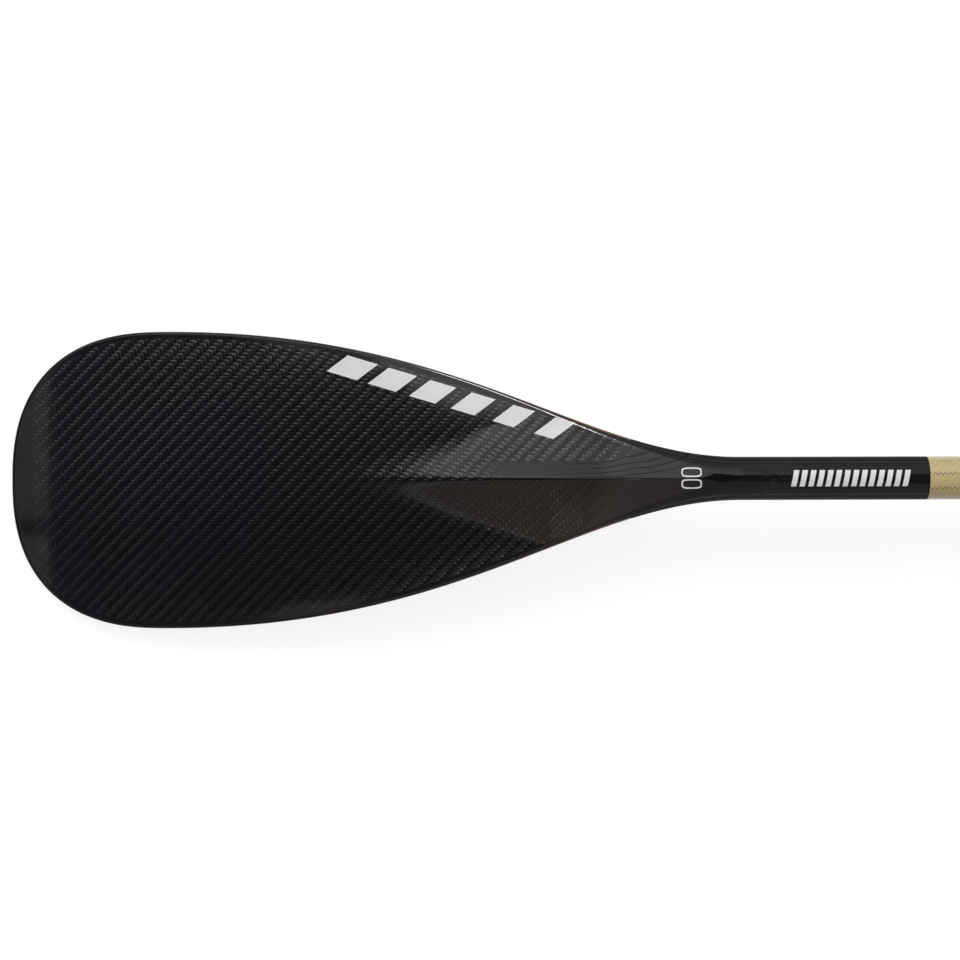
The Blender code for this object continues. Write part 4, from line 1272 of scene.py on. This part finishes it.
def softened(bm, width, segments=2, least_deg=40.0):
    """Rounds the sharp edges a little, as moulding and deburring do."""
    least = math.radians(least_deg)
    sharp = [edge for edge in bm.edges if edge.is_manifold and edge.calc_face_angle() > least]
    bmesh.ops.bevel(
        bm,
        geom=sharp,
        offset=width,
        offset_type="OFFSET",
        affect="EDGES",
        segments=segments,
        profile=0.5,
        clamp_overlap=True,
        material=-1,
    )
    bmesh.ops.recalc_face_normals(bm, faces=bm.faces)
    return bm


def evaluated(holder, *others):
    """The body that an object's modifiers make. The objects that were used for it go."""
    bpy.context.view_layer.update()
    made = bmesh.new()
    made.from_object(holder, bpy.context.evaluated_depsgraph_get())
    for used in (holder, *others):
        mesh = used.data
        bpy.data.objects.remove(used)
        bpy.data.meshes.remove(mesh)
    return made


def combined(bm, tool, operation):
    """The body after a Boolean operation with another body."""
    body, cutter = as_object("body", bm), as_object("tool", tool)
    modifier = body.modifiers.new("cut", "BOOLEAN")
    modifier.operation = operation
    modifier.object = cutter
    made = evaluated(body, cutter)
    bmesh.ops.remove_doubles(made, verts=made.verts, dist=SAME_PLACE)
    bmesh.ops.dissolve_degenerate(made, edges=made.edges, dist=SAME_PLACE)
    return made


# %% [markdown]
# ## The neck and the lower shaft
#
# The neck is a carbon tube, painted gloss black. It has a tang that is bonded into the sleeve
# of the blade, so the paint runs over the joint. The lower shaft is wound from aramid, which
# is pale gold under its resin.

# %% Make the neck and the lower shaft
TANG_LENGTH = 0.022
SHAFT_WALL = 0.0016
SHAFT_LENGTH = 1.0545
SHAFT_SLOT_LENGTH = 0.038
SLIT_WIDTH = 0.0030
COLLAR_LIP = 0.009
BORE_RADIUS = SHAFT_RADIUS - SHAFT_WALL
BREAK = 0.00015


def neck():
    tang_radius = SHAFT_RADIUS - SKIN_THICKNESS - BOND_GAP
    tang_bore = BORE_RADIUS - SKIN_THICKNESS - BOND_GAP
    profile = [
        (-NECK_LENGTH - TANG_LENGTH, tang_bore),
        (-NECK_LENGTH, tang_bore),
        (-NECK_LENGTH + SHAFT_WALL, BORE_RADIUS),
        (-HAIRLINE, BORE_RADIUS),
        (-HAIRLINE, SHAFT_RADIUS),
        (-NECK_LENGTH + HAIRLINE, SHAFT_RADIUS),
        (-NECK_LENGTH + HAIRLINE, tang_radius),
        (-NECK_LENGTH - TANG_LENGTH, tang_radius),
    ]
    return map_round(turned(profile), SHAFT_RADIUS)


def lower_shaft():
    bm = turned(chamfered_tube(HAIRLINE, SHAFT_LENGTH, BORE_RADIUS, SHAFT_RADIUS, BREAK / 5))
    slot = box(
        (SHAFT_LENGTH - SHAFT_SLOT_LENGTH, -SLIT_WIDTH / 2, 0),
        (SHAFT_LENGTH + COLLAR_LIP, SLIT_WIDTH / 2, 2 * SHAFT_RADIUS),
    )
    return map_round(combined(bm, slot, "DIFFERENCE"), SHAFT_RADIUS)


neck_paint = material("black_neck_paint", neck_finish)
aramid = material("woven_aramid", aramid_finish)
make_piece("neck", neck(), neck_paint, "neck_tube")
make_piece("lower_shaft", lower_shaft(), aramid, "shaft_tube")

# %% [markdown]
# ## The clamp's collar
#
# The collar is a split ring of moulded nylon with two ears. It's turned with a rounded
# profile and a step inside its mouth, joined with a rounded block for the ears, and then slit
# and drilled. Whatever sits on the bolt is turned along the shaft first and set across it.

# %% Make the collar
COLLAR_LENGTH = 0.049
COLLAR_WALL = 0.0043
GUIDE_RING_WALL = 0.0034
EAR_LENGTH = 0.022
EAR_THICKNESS = 0.005
EAR_RISE = 0.0112
BOLT_DIAMETER = 0.005
BOLT_BELOW_EAR_TOP = 0.0055
HOLE_CLEARANCE = 0.0004
COLLAR_BORE = SHAFT_RADIUS + BOND_GAP
COLLAR_RADIUS = COLLAR_BORE + COLLAR_WALL
COLLAR_END = SHAFT_LENGTH + COLLAR_LIP
COLLAR_START = COLLAR_END - COLLAR_LENGTH
EAR_MIDDLE = COLLAR_END - COLLAR_LENGTH / 2
EAR_SIDE = SLIT_WIDTH / 2 + EAR_THICKNESS
EAR_TOP = COLLAR_RADIUS + EAR_RISE
BOLT_HEIGHT = EAR_TOP - BOLT_BELOW_EAR_TOP
BOLT_HOLE = BOLT_DIAMETER / 2 + HOLE_CLEARANCE
COLLAR_ROUND = 0.0012
GROOVES, GROOVES_START, GROOVE_PITCH = 3, 0.0065, 0.0018
GROOVE_SECTION = ((0.0006, 0.0), (0.0003, 0.0004), (-0.0003, 0.0004), (-0.0006, 0.0))
EAR_ROUND, EAR_ROUND_STEPS = 0.0022, 8


def on_bolt(bm, along=0.0):
    """Turns a body that lies along the shaft, and sets it on the bolt's axis."""
    turn = X_AXIS.rotation_difference(Vector((0, 1, 0))).to_matrix().to_4x4()
    place = Matrix.Translation((EAR_MIDDLE, along, BOLT_HEIGHT))
    bmesh.ops.transform(bm, matrix=place @ turn, verts=bm.verts)
    return bm


def collar_profile():
    """The collar's section, with rounded corners and three shallow grooves near its foot."""
    seat = SHAFT_LENGTH + BOND_GAP
    ring_bore = BORE_RADIUS + GUIDE_RING_WALL + BOND_GAP
    inside = [(COLLAR_START, COLLAR_BORE), (seat, COLLAR_BORE), (seat, ring_bore)]
    outside = corner(COLLAR_END, 1, COLLAR_RADIUS, COLLAR_ROUND)
    for groove in range(GROOVES):
        middle = COLLAR_START + GROOVES_START - groove * GROOVE_PITCH
        outside += [(middle + along, COLLAR_RADIUS - deep) for along, deep in GROOVE_SECTION]
    outside += corner(COLLAR_START, -1, COLLAR_RADIUS, COLLAR_ROUND)[::-1]
    return [*inside, (COLLAR_END, ring_bore), *outside]


def collar():
    bm = turned(collar_profile())
    ears = box(
        (EAR_MIDDLE - EAR_LENGTH / 2, -EAR_SIDE, COLLAR_BORE + COLLAR_WALL / 2),
        (EAR_MIDDLE + EAR_LENGTH / 2, EAR_SIDE, EAR_TOP),
    )
    corners = [
        edge
        for edge in ears.edges
        if min(vert.co.z for vert in edge.verts) > COLLAR_RADIUS
        and abs(edge.verts[0].co.y - edge.verts[1].co.y) > EAR_SIDE
    ]
    bmesh.ops.bevel(
        ears,
        geom=corners,
        offset=EAR_ROUND,
        offset_type="OFFSET",
        affect="EDGES",
        segments=EAR_ROUND_STEPS,
        profile=0.5,
        material=-1,
    )
    bm = combined(bm, ears, "UNION")
    slit = box(
        (COLLAR_START - COLLAR_LIP, -SLIT_WIDTH / 2, 0),
        (COLLAR_END + COLLAR_LIP, SLIT_WIDTH / 2, EAR_TOP + COLLAR_LIP),
    )
    bm = combined(bm, slit, "DIFFERENCE")
    return combined(bm, on_bolt(rod(-2 * EAR_SIDE, 2 * EAR_SIDE, BOLT_HOLE)), "DIFFERENCE")


nylon = material("moulded_nylon", nylon_finish, 0.46)
make_piece("collar", collar(), nylon, "clamp_collar")

# %% [markdown]
# ## The bolt, its washer and the saddle
#
# The bolt is threaded all along, and only its ends show. The saddle is the steel plate that
# the lever's cam presses on.

# %% Make the steel parts
PIVOT_SIDE = 0.0161
SADDLE_HEIGHT = 0.010
SADDLE_THICKNESS = 0.0015
CAM_RADIUS = 0.0066
CAM_THROW = 0.0009
BARREL_DIAMETER = 0.008
LEVER_WIDTH = 0.020
KNOB_THICKNESS = 0.007
KNOB_FACE = 0.0081
WASHER_DIAMETER = 0.0105
WASHER_THICKNESS = 0.0010
BOLT_END_PROUD = 0.001
THREAD_PITCH = 0.0008
THREAD_DEPTH = 0.00035
SADDLE_ROUND = 0.0003


def bolt():
    start = -PIVOT_SIDE - BARREL_DIAMETER / 2 - BOLT_END_PROUD
    end = KNOB_FACE + KNOB_THICKNESS + BOLT_END_PROUD
    radius = BOLT_DIAMETER / 2
    profile = [(start, 0), (start, radius - THREAD_DEPTH)]
    along = start + THREAD_PITCH / 2
    while along < end - THREAD_PITCH / 2:
        profile += [(along, radius), (along + THREAD_PITCH / 2, radius - THREAD_DEPTH)]
        along += THREAD_PITCH
    profile += [(end, radius - THREAD_DEPTH), (end, 0)]
    return on_bolt(turned(profile, SMALL_STEPS))


def washer():
    start, rim = EAR_SIDE + BOND_GAP, WASHER_DIAMETER / 2
    profile = chamfered_tube(start, start + WASHER_THICKNESS, BOLT_HOLE, rim, BREAK)
    return on_bolt(turned(profile, SMALL_STEPS))


def saddle():
    face = EAR_SIDE + BOND_GAP + SADDLE_THICKNESS
    bm = box(
        (EAR_MIDDLE - LEVER_WIDTH / 2, -face, BOLT_HEIGHT - SADDLE_HEIGHT / 2),
        (EAR_MIDDLE + LEVER_WIDTH / 2, -EAR_SIDE - BOND_GAP, BOLT_HEIGHT + SADDLE_HEIGHT / 2),
    )
    softened(bm, SADDLE_ROUND, segments=3)
    return combined(bm, on_bolt(rod(-LEVER_WIDTH, 0, BOLT_HOLE)), "DIFFERENCE")


steel = material("stainless_steel", metal_finish, rgb(0.62, 0.62, 0.61), 0.26)
for name, bm, node in (
    ("bolt", bolt(), "tension_bolt"),
    ("washer", washer(), "knob_washer"),
    ("saddle", saddle(), "cam_saddle"),
):
    make_piece(name, bm, steel, node)


# %% [markdown]
# ## The knob
#
# The knob is turned like the tubes, in many steps. Ten flutes are then pressed into its rim:
# each vertex that lies in a flute moves towards the axis, onto the flute's round floor.

# %% Make the knob
KNOB_DIAMETER = 0.014
KNOB_FLUTES = 10
KNOB_FLUTE_DIAMETER = 0.0022
KNOB_CHAMFER = 0.0006
KNOB_RING = 0.0016
STEPS_IN_FLUTE = 24
INSERT_DIAMETER = 0.009


def knob():
    bore = INSERT_DIAMETER / 2 + HAIRLINE
    radius = KNOB_DIAMETER / 2
    profile = [(0, bore), (KNOB_THICKNESS, bore), (KNOB_THICKNESS, radius - KNOB_RING)]
    profile += corner(KNOB_THICKNESS, 1, radius, KNOB_CHAMFER)
    profile += corner(0, -1, radius, KNOB_CHAMFER)[::-1]
    bm = turned(profile, STEPS_IN_FLUTE * KNOB_FLUTES)
    flute_radius = KNOB_FLUTE_DIAMETER / 2
    pitch = 2 * math.pi / KNOB_FLUTES
    for vert in bm.verts:
        away = math.hypot(vert.co.y, vert.co.z)
        turn = math.atan2(vert.co.y, vert.co.z) % pitch
        aside = (turn - pitch / 2) * radius
        floor = radius - math.sqrt(max(0.0, flute_radius**2 - aside**2))
        drawn_in = min(away, floor) / away
        vert.co = Vector((vert.co.x, vert.co.y * drawn_in, vert.co.z * drawn_in))
    return on_bolt(bm, KNOB_FACE)


def knob_core():
    bore = BOLT_DIAMETER / 2 + HAIRLINE
    profile = chamfered_tube(0, KNOB_THICKNESS, bore, INSERT_DIAMETER / 2, BREAK)
    return on_bolt(turned(profile, SMALL_STEPS), KNOB_FACE)


brass = material("brass", metal_finish, rgb(0.72, 0.53, 0.24), 0.30)
make_piece("fluted_knob", knob(), nylon, "tension_knob", "knob")
make_piece("knob_core", knob_core(), brass, "knob_insert", "knob")

# %% [markdown]
# ## The lever
#
# The lever is a curved plate that wraps round the collar and flares at its end for the
# thumb. Its section is drawn in a plane, pulled along the shaft and rounded. A round cam
# joins it, a little off the pivot, and the slot for the bolt and the pivot's bore are cut.

# %% Make the lever
LEVER_SLOT_WIDTH = 0.0064
LEVER_THICKNESS = 0.0042
LEVER_SIDE_CLEARANCE = 0.0013
LEVER_WRAP_FROM_DEG = 152.0
LEVER_WRAP_TO_DEG = 244.0
LEVER_FLARE_DEG = 16.0
LEVER_FLARE = 0.0022
LEVER_ARC_POINTS = 57
LEVER_ROUND = 0.0011
LEVER_RIB = 0.00035
LEVER_RIB_WAVES = 36
LEVER_RIBS_DEG = 34.0
LEVER_RIBS_FADE_DEG = (4.0, 3.0)
CAM_CHAMFER = 0.0004
PIVOT_CLEARANCE = 0.0001


def lever_outline():
    """The lever's section across the shaft: up its inside and back over its ribbed outside."""
    inside, outside = [], []
    for angle in np.linspace(LEVER_WRAP_FROM_DEG, LEVER_WRAP_TO_DEG, LEVER_ARC_POINTS):
        to_end = LEVER_WRAP_TO_DEG - angle
        flare = ease((LEVER_FLARE_DEG - to_end) / LEVER_FLARE_DEG)
        way = np.array([math.cos(math.radians(angle)), math.sin(math.radians(angle))])
        inner = COLLAR_RADIUS + LEVER_SIDE_CLEARANCE + LEVER_FLARE * flare
        ribs = LEVER_RIB * abs(math.sin(math.radians(to_end) * LEVER_RIB_WAVES))
        fade_in, fade_out = LEVER_RIBS_FADE_DEG
        ribs *= ease((LEVER_RIBS_DEG - to_end) / fade_in) * ease(to_end / fade_out)
        inside.append(way * inner)
        outside.append(way * (inner + LEVER_THICKNESS - ribs))
    root_inner = (-PIVOT_SIDE + CAM_RADIUS / 3, BOLT_HEIGHT)
    root_outer = (-PIVOT_SIDE - CAM_RADIUS + CAM_THROW, BOLT_HEIGHT)
    return [root_inner, *inside, *outside[::-1], root_outer]


def moved(bm, vector):
    bmesh.ops.translate(bm, vec=vector, verts=bm.verts)
    return bm


def lever():
    half = LEVER_WIDTH / 2
    bm = bmesh.new()
    verts = [bm.verts.new((EAR_MIDDLE - half, y, z)) for y, z in lever_outline()]
    pulled = bmesh.ops.extrude_face_region(bm, geom=[bm.faces.new(verts)])
    far = [v for v in pulled["geom"] if isinstance(v, bmesh.types.BMVert)]
    bmesh.ops.translate(bm, vec=(LEVER_WIDTH, 0, 0), verts=far)
    bmesh.ops.recalc_face_normals(bm, faces=bm.faces)
    softened(bm, LEVER_ROUND, segments=4, least_deg=50.0)
    rim = [(half - CAM_CHAMFER, CAM_RADIUS), (half, CAM_RADIUS - CAM_CHAMFER), (half, 0)]
    cam = turned([(-x, radius) for x, radius in reversed(rim)] + rim)
    pivot = Vector((EAR_MIDDLE, -PIVOT_SIDE, BOLT_HEIGHT))
    bm = combined(bm, moved(cam, pivot + Vector((0, CAM_THROW, 0))), "UNION")
    bore = rod(-LEVER_WIDTH, LEVER_WIDTH, BARREL_DIAMETER / 2 + PIVOT_CLEARANCE)
    bm = combined(bm, moved(bore, pivot), "DIFFERENCE")
    slot = box(
        (-LEVER_SLOT_WIDTH / 2, -2 * CAM_RADIUS, -CAM_RADIUS - BOLT_DIAMETER / 2),
        (LEVER_SLOT_WIDTH / 2, 2 * CAM_RADIUS, 2 * CAM_RADIUS),
    )
    return combined(bm, moved(slot, pivot), "DIFFERENCE")


lever_nylon = material("lever_nylon", nylon_finish, 0.38)
make_piece("thumb_lever", lever(), lever_nylon, "cam_lever", "lever")

# %% [markdown]
# ## The upper shaft and its scale
#
# The upper shaft slides in the lower one, and a groove underneath runs over the key that
# stops it turning. It's bare twill laminate. A printed scale tells the paddle's length at the
# mouth of the clamp, in centimetres.

# %% Make the upper shaft
EXTENSION_BORE = 0.0096
EXTENSION_START = 0.9445
GRIP_FACE = 1.4715
KEY_WIDTH = 0.0026
KEY_DEPTH = 0.0007
PAST_END = 0.01


def upper_shaft():
    end = GRIP_FACE - HAIRLINE
    bm = turned(
        chamfered_tube(EXTENSION_START, end, EXTENSION_BORE, EXTENSION_RADIUS, BREAK)
    )
    half_groove = KEY_WIDTH / 2 + BOND_GAP
    floor_of_groove = EXTENSION_RADIUS - KEY_DEPTH - BOND_GAP
    groove = box(
        (EXTENSION_START - PAST_END, -half_groove, -2 * EXTENSION_RADIUS),
        (GRIP_FACE + PAST_END, half_groove, -floor_of_groove),
    )
    return map_round(combined(bm, groove, "DIFFERENCE"), EXTENSION_RADIUS)


bare_twill = material("bare_twill", extension_finish)
make_piece(
    "upper_shaft", upper_shaft(), bare_twill, "extension_tube", "extension"
)

# %% [markdown]
# The print of the scale is a thin layer of ink. Each tick and each number is a flat outline,
# cut in strips, thickened a little and bent round the tube.

# %% Numbers and ticks that are bent round a tube
PRINT_RISE = 0.00003
PRINT_SINK = 0.00005
STRIP = 0.0006


def flat_number(text, size):
    """A number as a flat mesh, centred on the origin."""
    curve = bpy.data.curves.new("number", "FONT")
    curve.body = text
    curve.size = size
    curve.align_x = "CENTER"
    curve.align_y = "CENTER"
    holder = bpy.data.objects.new("number", curve)
    bpy.context.scene.collection.objects.link(holder)
    bpy.context.view_layer.update()
    ready = holder.evaluated_get(bpy.context.evaluated_depsgraph_get())
    mesh = bpy.data.meshes.new_from_object(ready)
    bm = bmesh.new()
    bm.from_mesh(mesh)
    bpy.data.objects.remove(holder)
    bpy.data.curves.remove(curve)
    bpy.data.meshes.remove(mesh)
    bmesh.ops.remove_doubles(bm, verts=bm.verts, dist=1e-7)
    return bm


def flat_tick(length, width):
    bm = bmesh.new()
    bmesh.ops.create_grid(bm, x_segments=1, y_segments=1, size=0.5)
    bmesh.ops.scale(bm, vec=(width, length, 1), verts=bm.verts)
    return bm


def bent_round(bm, radius):
    """Cuts a flat print in strips, thickens it and bends it over the top of a tube."""
    reach = max(abs(vert.co.y) for vert in bm.verts)
    strips = math.ceil(reach / STRIP)
    for line in range(-strips, strips + 1):
        every = bm.verts[:] + bm.edges[:] + bm.faces[:]
        cut = (0, line * STRIP, 0)
        bmesh.ops.bisect_plane(bm, geom=every, plane_co=cut, plane_no=(0, 1, 0))
    raised = doubled(bm)
    for vert in bm.verts:
        away = radius + (PRINT_RISE if vert in raised else -PRINT_SINK)
        turn = vert.co.y / radius
        vert.co = Vector((vert.co.x, away * math.sin(turn), away * math.cos(turn)))
    bmesh.ops.recalc_face_normals(bm, faces=bm.faces)
    return bm


def add_to(target, bm, along=0.0):
    """Adds a small body to a larger one, moved along the shaft."""
    moved(bm, (along, 0, 0))
    mesh = bpy.data.meshes.new("part")
    bm.to_mesh(mesh)
    bm.free()
    target.from_mesh(mesh)
    bpy.data.meshes.remove(mesh)


# %% [markdown]
# There is a tick for each centimetre, and a long one with its number for every fifth.

# %% Print the scale
SHORTEST, LONGEST = 169, 209
NUMBER_HEIGHT = 0.0052
NUMBER_ASIDE = 0.0042
TICK_PITCH, TICK_WIDTH = 0.01, 0.0004
TICK_LENGTH, LONG_TICK_LENGTH = 0.0036, 0.0072


def length_scale():
    total = bmesh.new()
    for length in range(SHORTEST + 1, LONGEST):
        along = COLLAR_END + (LONGEST - length) * TICK_PITCH
        reach = TICK_LENGTH if length % 5 else LONG_TICK_LENGTH
        add_to(total, bent_round(flat_tick(reach, TICK_WIDTH), EXTENSION_RADIUS), along)
        if length % 5 == 0:
            number = flat_number(str(length), NUMBER_HEIGHT)
            sideways = Matrix.Rotation(math.pi / 2, 3, "Z")
            bmesh.ops.rotate(number, matrix=sideways, verts=number.verts)
            add_to(total, bent_round(number, EXTENSION_RADIUS), along - NUMBER_ASIDE)
    return total


ink = material("white_print", ink_finish)
make_piece("length_scale", length_scale(), ink, body="extension")

# %% [markdown]
# ## The grip
#
# The grip is a moulded T. A box cage with a column and two arms is rounded by subdivision,
# which gives soft palms without a sharp edge.

# %% Shape the cage of the grip
GRIP_WIDTH = 0.112
GRIP_HEIGHT = 0.060
GRIP_BAR_DEPTH = 0.032
GRIP_THICKNESS = 0.032
CAGE_NECK_SWELL = 1.075
CAGE_BAR_SWELL = 1.16
CAGE_COLUMN_RISE = (0.42, 0.90)
CAGE_COLUMN_WIDTH = (1.0, 1.12, 1.25)
CAGE_TOP_SWELL = 1.03
CAGE_ARM_REACH = (0.30, 0.46, 0.505)
CAGE_ARM_LOW = (1.10, 1.16, 1.34)
CAGE_ARM_HIGH = (1.02, 0.99, 0.90)
CAGE_ARM_THICKNESS = (0.95, 0.80, 0.55)


def grip_cage():
    """A box cage of the T grip, open at its neck, that subdivision rounds off."""
    neck_side = EXTENSION_RADIUS * CAGE_NECK_SWELL
    half_bar = GRIP_THICKNESS / 2 * CAGE_BAR_SWELL
    bar_low = GRIP_HEIGHT - GRIP_BAR_DEPTH * CAGE_BAR_SWELL
    levels = [bar_low * rise for rise in CAGE_COLUMN_RISE] + [GRIP_HEIGHT * CAGE_TOP_SWELL]
    widths = [neck_side * width for width in CAGE_COLUMN_WIDTH]
    heights = [*widths[:-1], half_bar]
    bm = box((0, -neck_side, -neck_side), (levels[0], neck_side, neck_side))
    top = max(bm.faces, key=lambda f: f.calc_center_median().x)
    for x, half_y, height in zip(levels[1:], widths[1:], heights[1:]):
        top = bmesh.ops.extrude_discrete_faces(bm, faces=[top])["faces"][0]
        for vert in top.verts:
            side = math.copysign(half_y, vert.co.y)
            vert.co = Vector((x, side, math.copysign(height, vert.co.z)))
    bm.normal_update()
    bar_faces = [f for f in bm.faces if f.calc_center_median().x > bar_low and f != top]
    for face in [f for f in bar_faces if abs(f.normal.y) > abs(f.normal.z)]:
        way = math.copysign(1, face.normal.y)
        middle = face.calc_center_median().x
        for share, low, high, thick in zip(
            CAGE_ARM_REACH, CAGE_ARM_LOW, CAGE_ARM_HIGH, CAGE_ARM_THICKNESS
        ):
            face = bmesh.ops.extrude_discrete_faces(bm, faces=[face])["faces"][0]
            for vert in face.verts:
                x = GRIP_HEIGHT * high if vert.co.x > middle else bar_low * low
                side = way * GRIP_WIDTH * share
                vert.co = Vector((x, side, math.copysign(half_bar * thick, vert.co.z)))
            middle = face.calc_center_median().x
    base = min(bm.faces, key=lambda f: f.calc_center_median().x)
    bmesh.ops.delete(bm, geom=[base], context="FACES_ONLY")
    bmesh.ops.recalc_face_normals(bm, faces=bm.faces)
    return bm


# %% [markdown]
# The grip is two shells with a fine seam round the middle, as it comes out of a mould in two
# halves. The lower shell has a flat land where it lies on the floor.

# %% Make the two shells of the grip
GRIP_WALL = 0.0015
GRIP_LEVELS = 4
SEAM = 0.00008


def rounded(bm, levels):
    """The cage after Catmull-Clark subdivision, as a new bmesh."""
    cage = as_object("cage", bm)
    modifier = cage.modifiers.new("rounding", "SUBSURF")
    modifier.levels = modifier.render_levels = levels
    return evaluated(cage)


def cut_off(bm, point, normal):
    """Removes what lies in front of a plane and closes the cut."""
    made = bmesh.ops.bisect_plane(
        bm,
        geom=bm.verts[:] + bm.edges[:] + bm.faces[:],
        plane_co=point,
        plane_no=normal,
        clear_outer=True,
    )
    rim = [cut for cut in made["geom_cut"] if isinstance(cut, bmesh.types.BMEdge)]
    bmesh.ops.triangle_fill(bm, edges=rim, use_beauty=True)
    bmesh.ops.recalc_face_normals(bm, faces=bm.faces)


def grip_half(way):
    bm = rounded(grip_cage(), GRIP_LEVELS)
    bm.normal_update()
    for vert in doubled(bm):
        vert.co -= vert.normal * GRIP_WALL
    cut_off(bm, (0, 0, way * SEAM / 2), (0, 0, -way))
    moved(bm, (GRIP_FACE, 0, 0))
    if way < 0:
        to_local = TO_WORLD.inverted()
        down = to_local.to_3x3() @ Vector((0, 0, -1))
        cut_off(bm, to_local @ Vector((0, 0, 0)), down)
    return bm


grip_twill = material("grip_twill", grip_finish)
for name, way, node in (("grip_top", 1, "grip_upper_shell"), ("grip_bottom", -1, "grip_lower_shell")):
    make_piece(name, grip_half(way), grip_twill, node, "extension")


# %% [markdown]
# ## Printed marks
#
# Real paddles carry white print on the power face and the neck. Plain slanted bars stand in
# for it. Each mark is a thin layer of ink that lies on the clear coat and follows the surface.


# %% Lay bars on a surface
def bars_on(place, first, last, height, slant, shares, fineness):
    """Slanted bars between two points of a flat drawing, each with its share of the pitch."""
    first, last = np.array(first), np.array(last)
    along = (last - first) / np.linalg.norm(last - first)
    up = np.array([-along[1], along[0]])
    pitch = np.linalg.norm(last - first) / len(shares)
    total = bmesh.new()
    for bar, share in enumerate(shares):
        width = pitch * share
        bm, raised = doubled_sheet(fineness, fineness)
        for vert in bm.verts:
            across, rise = (vert.co.x + 1) / 2 * width, (vert.co.y + 1) / 2 * height
            spot = first + along * (bar * pitch + across + rise * slant) + up * rise
            vert.co = place(spot[0], spot[1], PRINT_RISE if vert in raised else -PRINT_SINK)
        bmesh.ops.recalc_face_normals(bm, faces=bm.faces)
        add_to(total, bm)
    return total


def on_power_face(s, y, rise):
    return on_blade(s, y, section_height(s, y, 0.0, True) + rise)


def on_neck(x, y, rise):
    turn = y / SHAFT_RADIUS
    away = SHAFT_RADIUS + rise
    return Vector((x, away * math.sin(turn), away * math.cos(turn)))


# %% [markdown]
# The bars on the blade run along its upper edge and get narrower. Those on the neck are even.

# %% Print the bars
MARK_FROM = (0.2003, 0.0662)
MARK_TO = (0.3535, 0.0198)
MARK_HEIGHT = 0.0129
MARK_SLANT = 0.75
MARK_SHARES = (0.74, 0.684, 0.628, 0.572, 0.516, 0.46)
MARK_FINENESS = 24
NECK_MARK_HEIGHT = 0.0100
NECK_MARK_FROM = (-0.0836, -NECK_MARK_HEIGHT / 2)
NECK_MARK_TO = (-0.0117, -NECK_MARK_HEIGHT / 2)
NECK_MARK_SLANT = 0.2
NECK_MARK_SHARES = (0.62,) * 14
NECK_MARK_FINENESS = 8

blade_bars = (MARK_FROM, MARK_TO, MARK_HEIGHT, MARK_SLANT, MARK_SHARES, MARK_FINENESS)
make_piece("blade_marks", bars_on(on_power_face, *blade_bars), ink)
neck_bars = (NECK_MARK_FROM, NECK_MARK_TO, NECK_MARK_HEIGHT, NECK_MARK_SLANT, NECK_MARK_SHARES)
make_piece("neck_marks", bars_on(on_neck, *neck_bars, NECK_MARK_FINENESS), ink)

# %% [markdown]
# Two hollow rings stand across the ridge, close to the neck.

# %% Print the rings
RING_MIDDLE = 0.4215
RING_LENGTH = 0.0118
RING_WIDTH = 0.0057
RING_LINE = 0.0008
RING_PLACES = (0.0038, -0.0032)
RING_POINTS = 64


def squarish(value):
    """Draws the parts of a unit circle out, so that the circle becomes a rounded square."""
    return math.copysign(math.sqrt(abs(value)), value)


def ring_on(place, middle, length, width, line):
    """A hollow rounded mark, laid on a surface."""
    bm = bmesh.new()
    loops = []
    for inset in (0.0, line):
        loops.append([])
        for turn in np.linspace(0, 2 * math.pi, RING_POINTS, endpoint=False):
            x = squarish(math.cos(turn)) * (length / 2 - inset)
            y = squarish(math.sin(turn)) * (width / 2 - inset)
            loops[-1].append(bm.verts.new((middle[0] + x, middle[1] + y, 0)))
    outer, inner = loops
    for index in range(RING_POINTS):
        after = (index + 1) % RING_POINTS
        bm.faces.new((outer[index], outer[after], inner[after], inner[index]))
    raised = doubled(bm)
    for vert in bm.verts:
        rise = PRINT_RISE if vert in raised else -PRINT_SINK
        vert.co = place(vert.co.x, vert.co.y, rise)
    bmesh.ops.recalc_face_normals(bm, faces=bm.faces)
    return bm


throat_marks = bmesh.new()
for across in RING_PLACES:
    ring = ring_on(on_power_face, (RING_MIDDLE, across), RING_LENGTH, RING_WIDTH, RING_LINE)
    add_to(throat_marks, ring)
make_piece("throat_marks", throat_marks, ink)

# %% [markdown]
# ## Finishes of the inner pieces
#
# Nine pieces stay as they were packed, inside or between the others. Seven of them get their
# finish here: foam with fine cells, bare laminate, acetal, nylon and steel. The grip's core and
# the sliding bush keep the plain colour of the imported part.

# %% Finish the inner pieces
stopper_foam = material("stopper_foam", foam_finish, rgb(0.16, 0.16, 0.17))
INNER = {
    "blade_core": material("core_foam", foam_finish, rgb(0.62, 0.58, 0.46)),
    "shaft_bulkhead": stopper_foam,
    "extension_plug": stopper_foam,
    "neck_ferrule": material("bare_laminate", bare_finish),
    "guide_ring": material("acetal", nylon_finish, 0.34),
    "grip_stem": nylon,
    "lever_barrel": steel,
}
for node, finish in INNER.items():
    kept = frame["nodes"][node]
    kept.data.materials.clear()
    kept.data.materials.append(finish)
print(f"{len(INNER)} packed pieces got a finish, {len(made_pieces)} pieces are new")
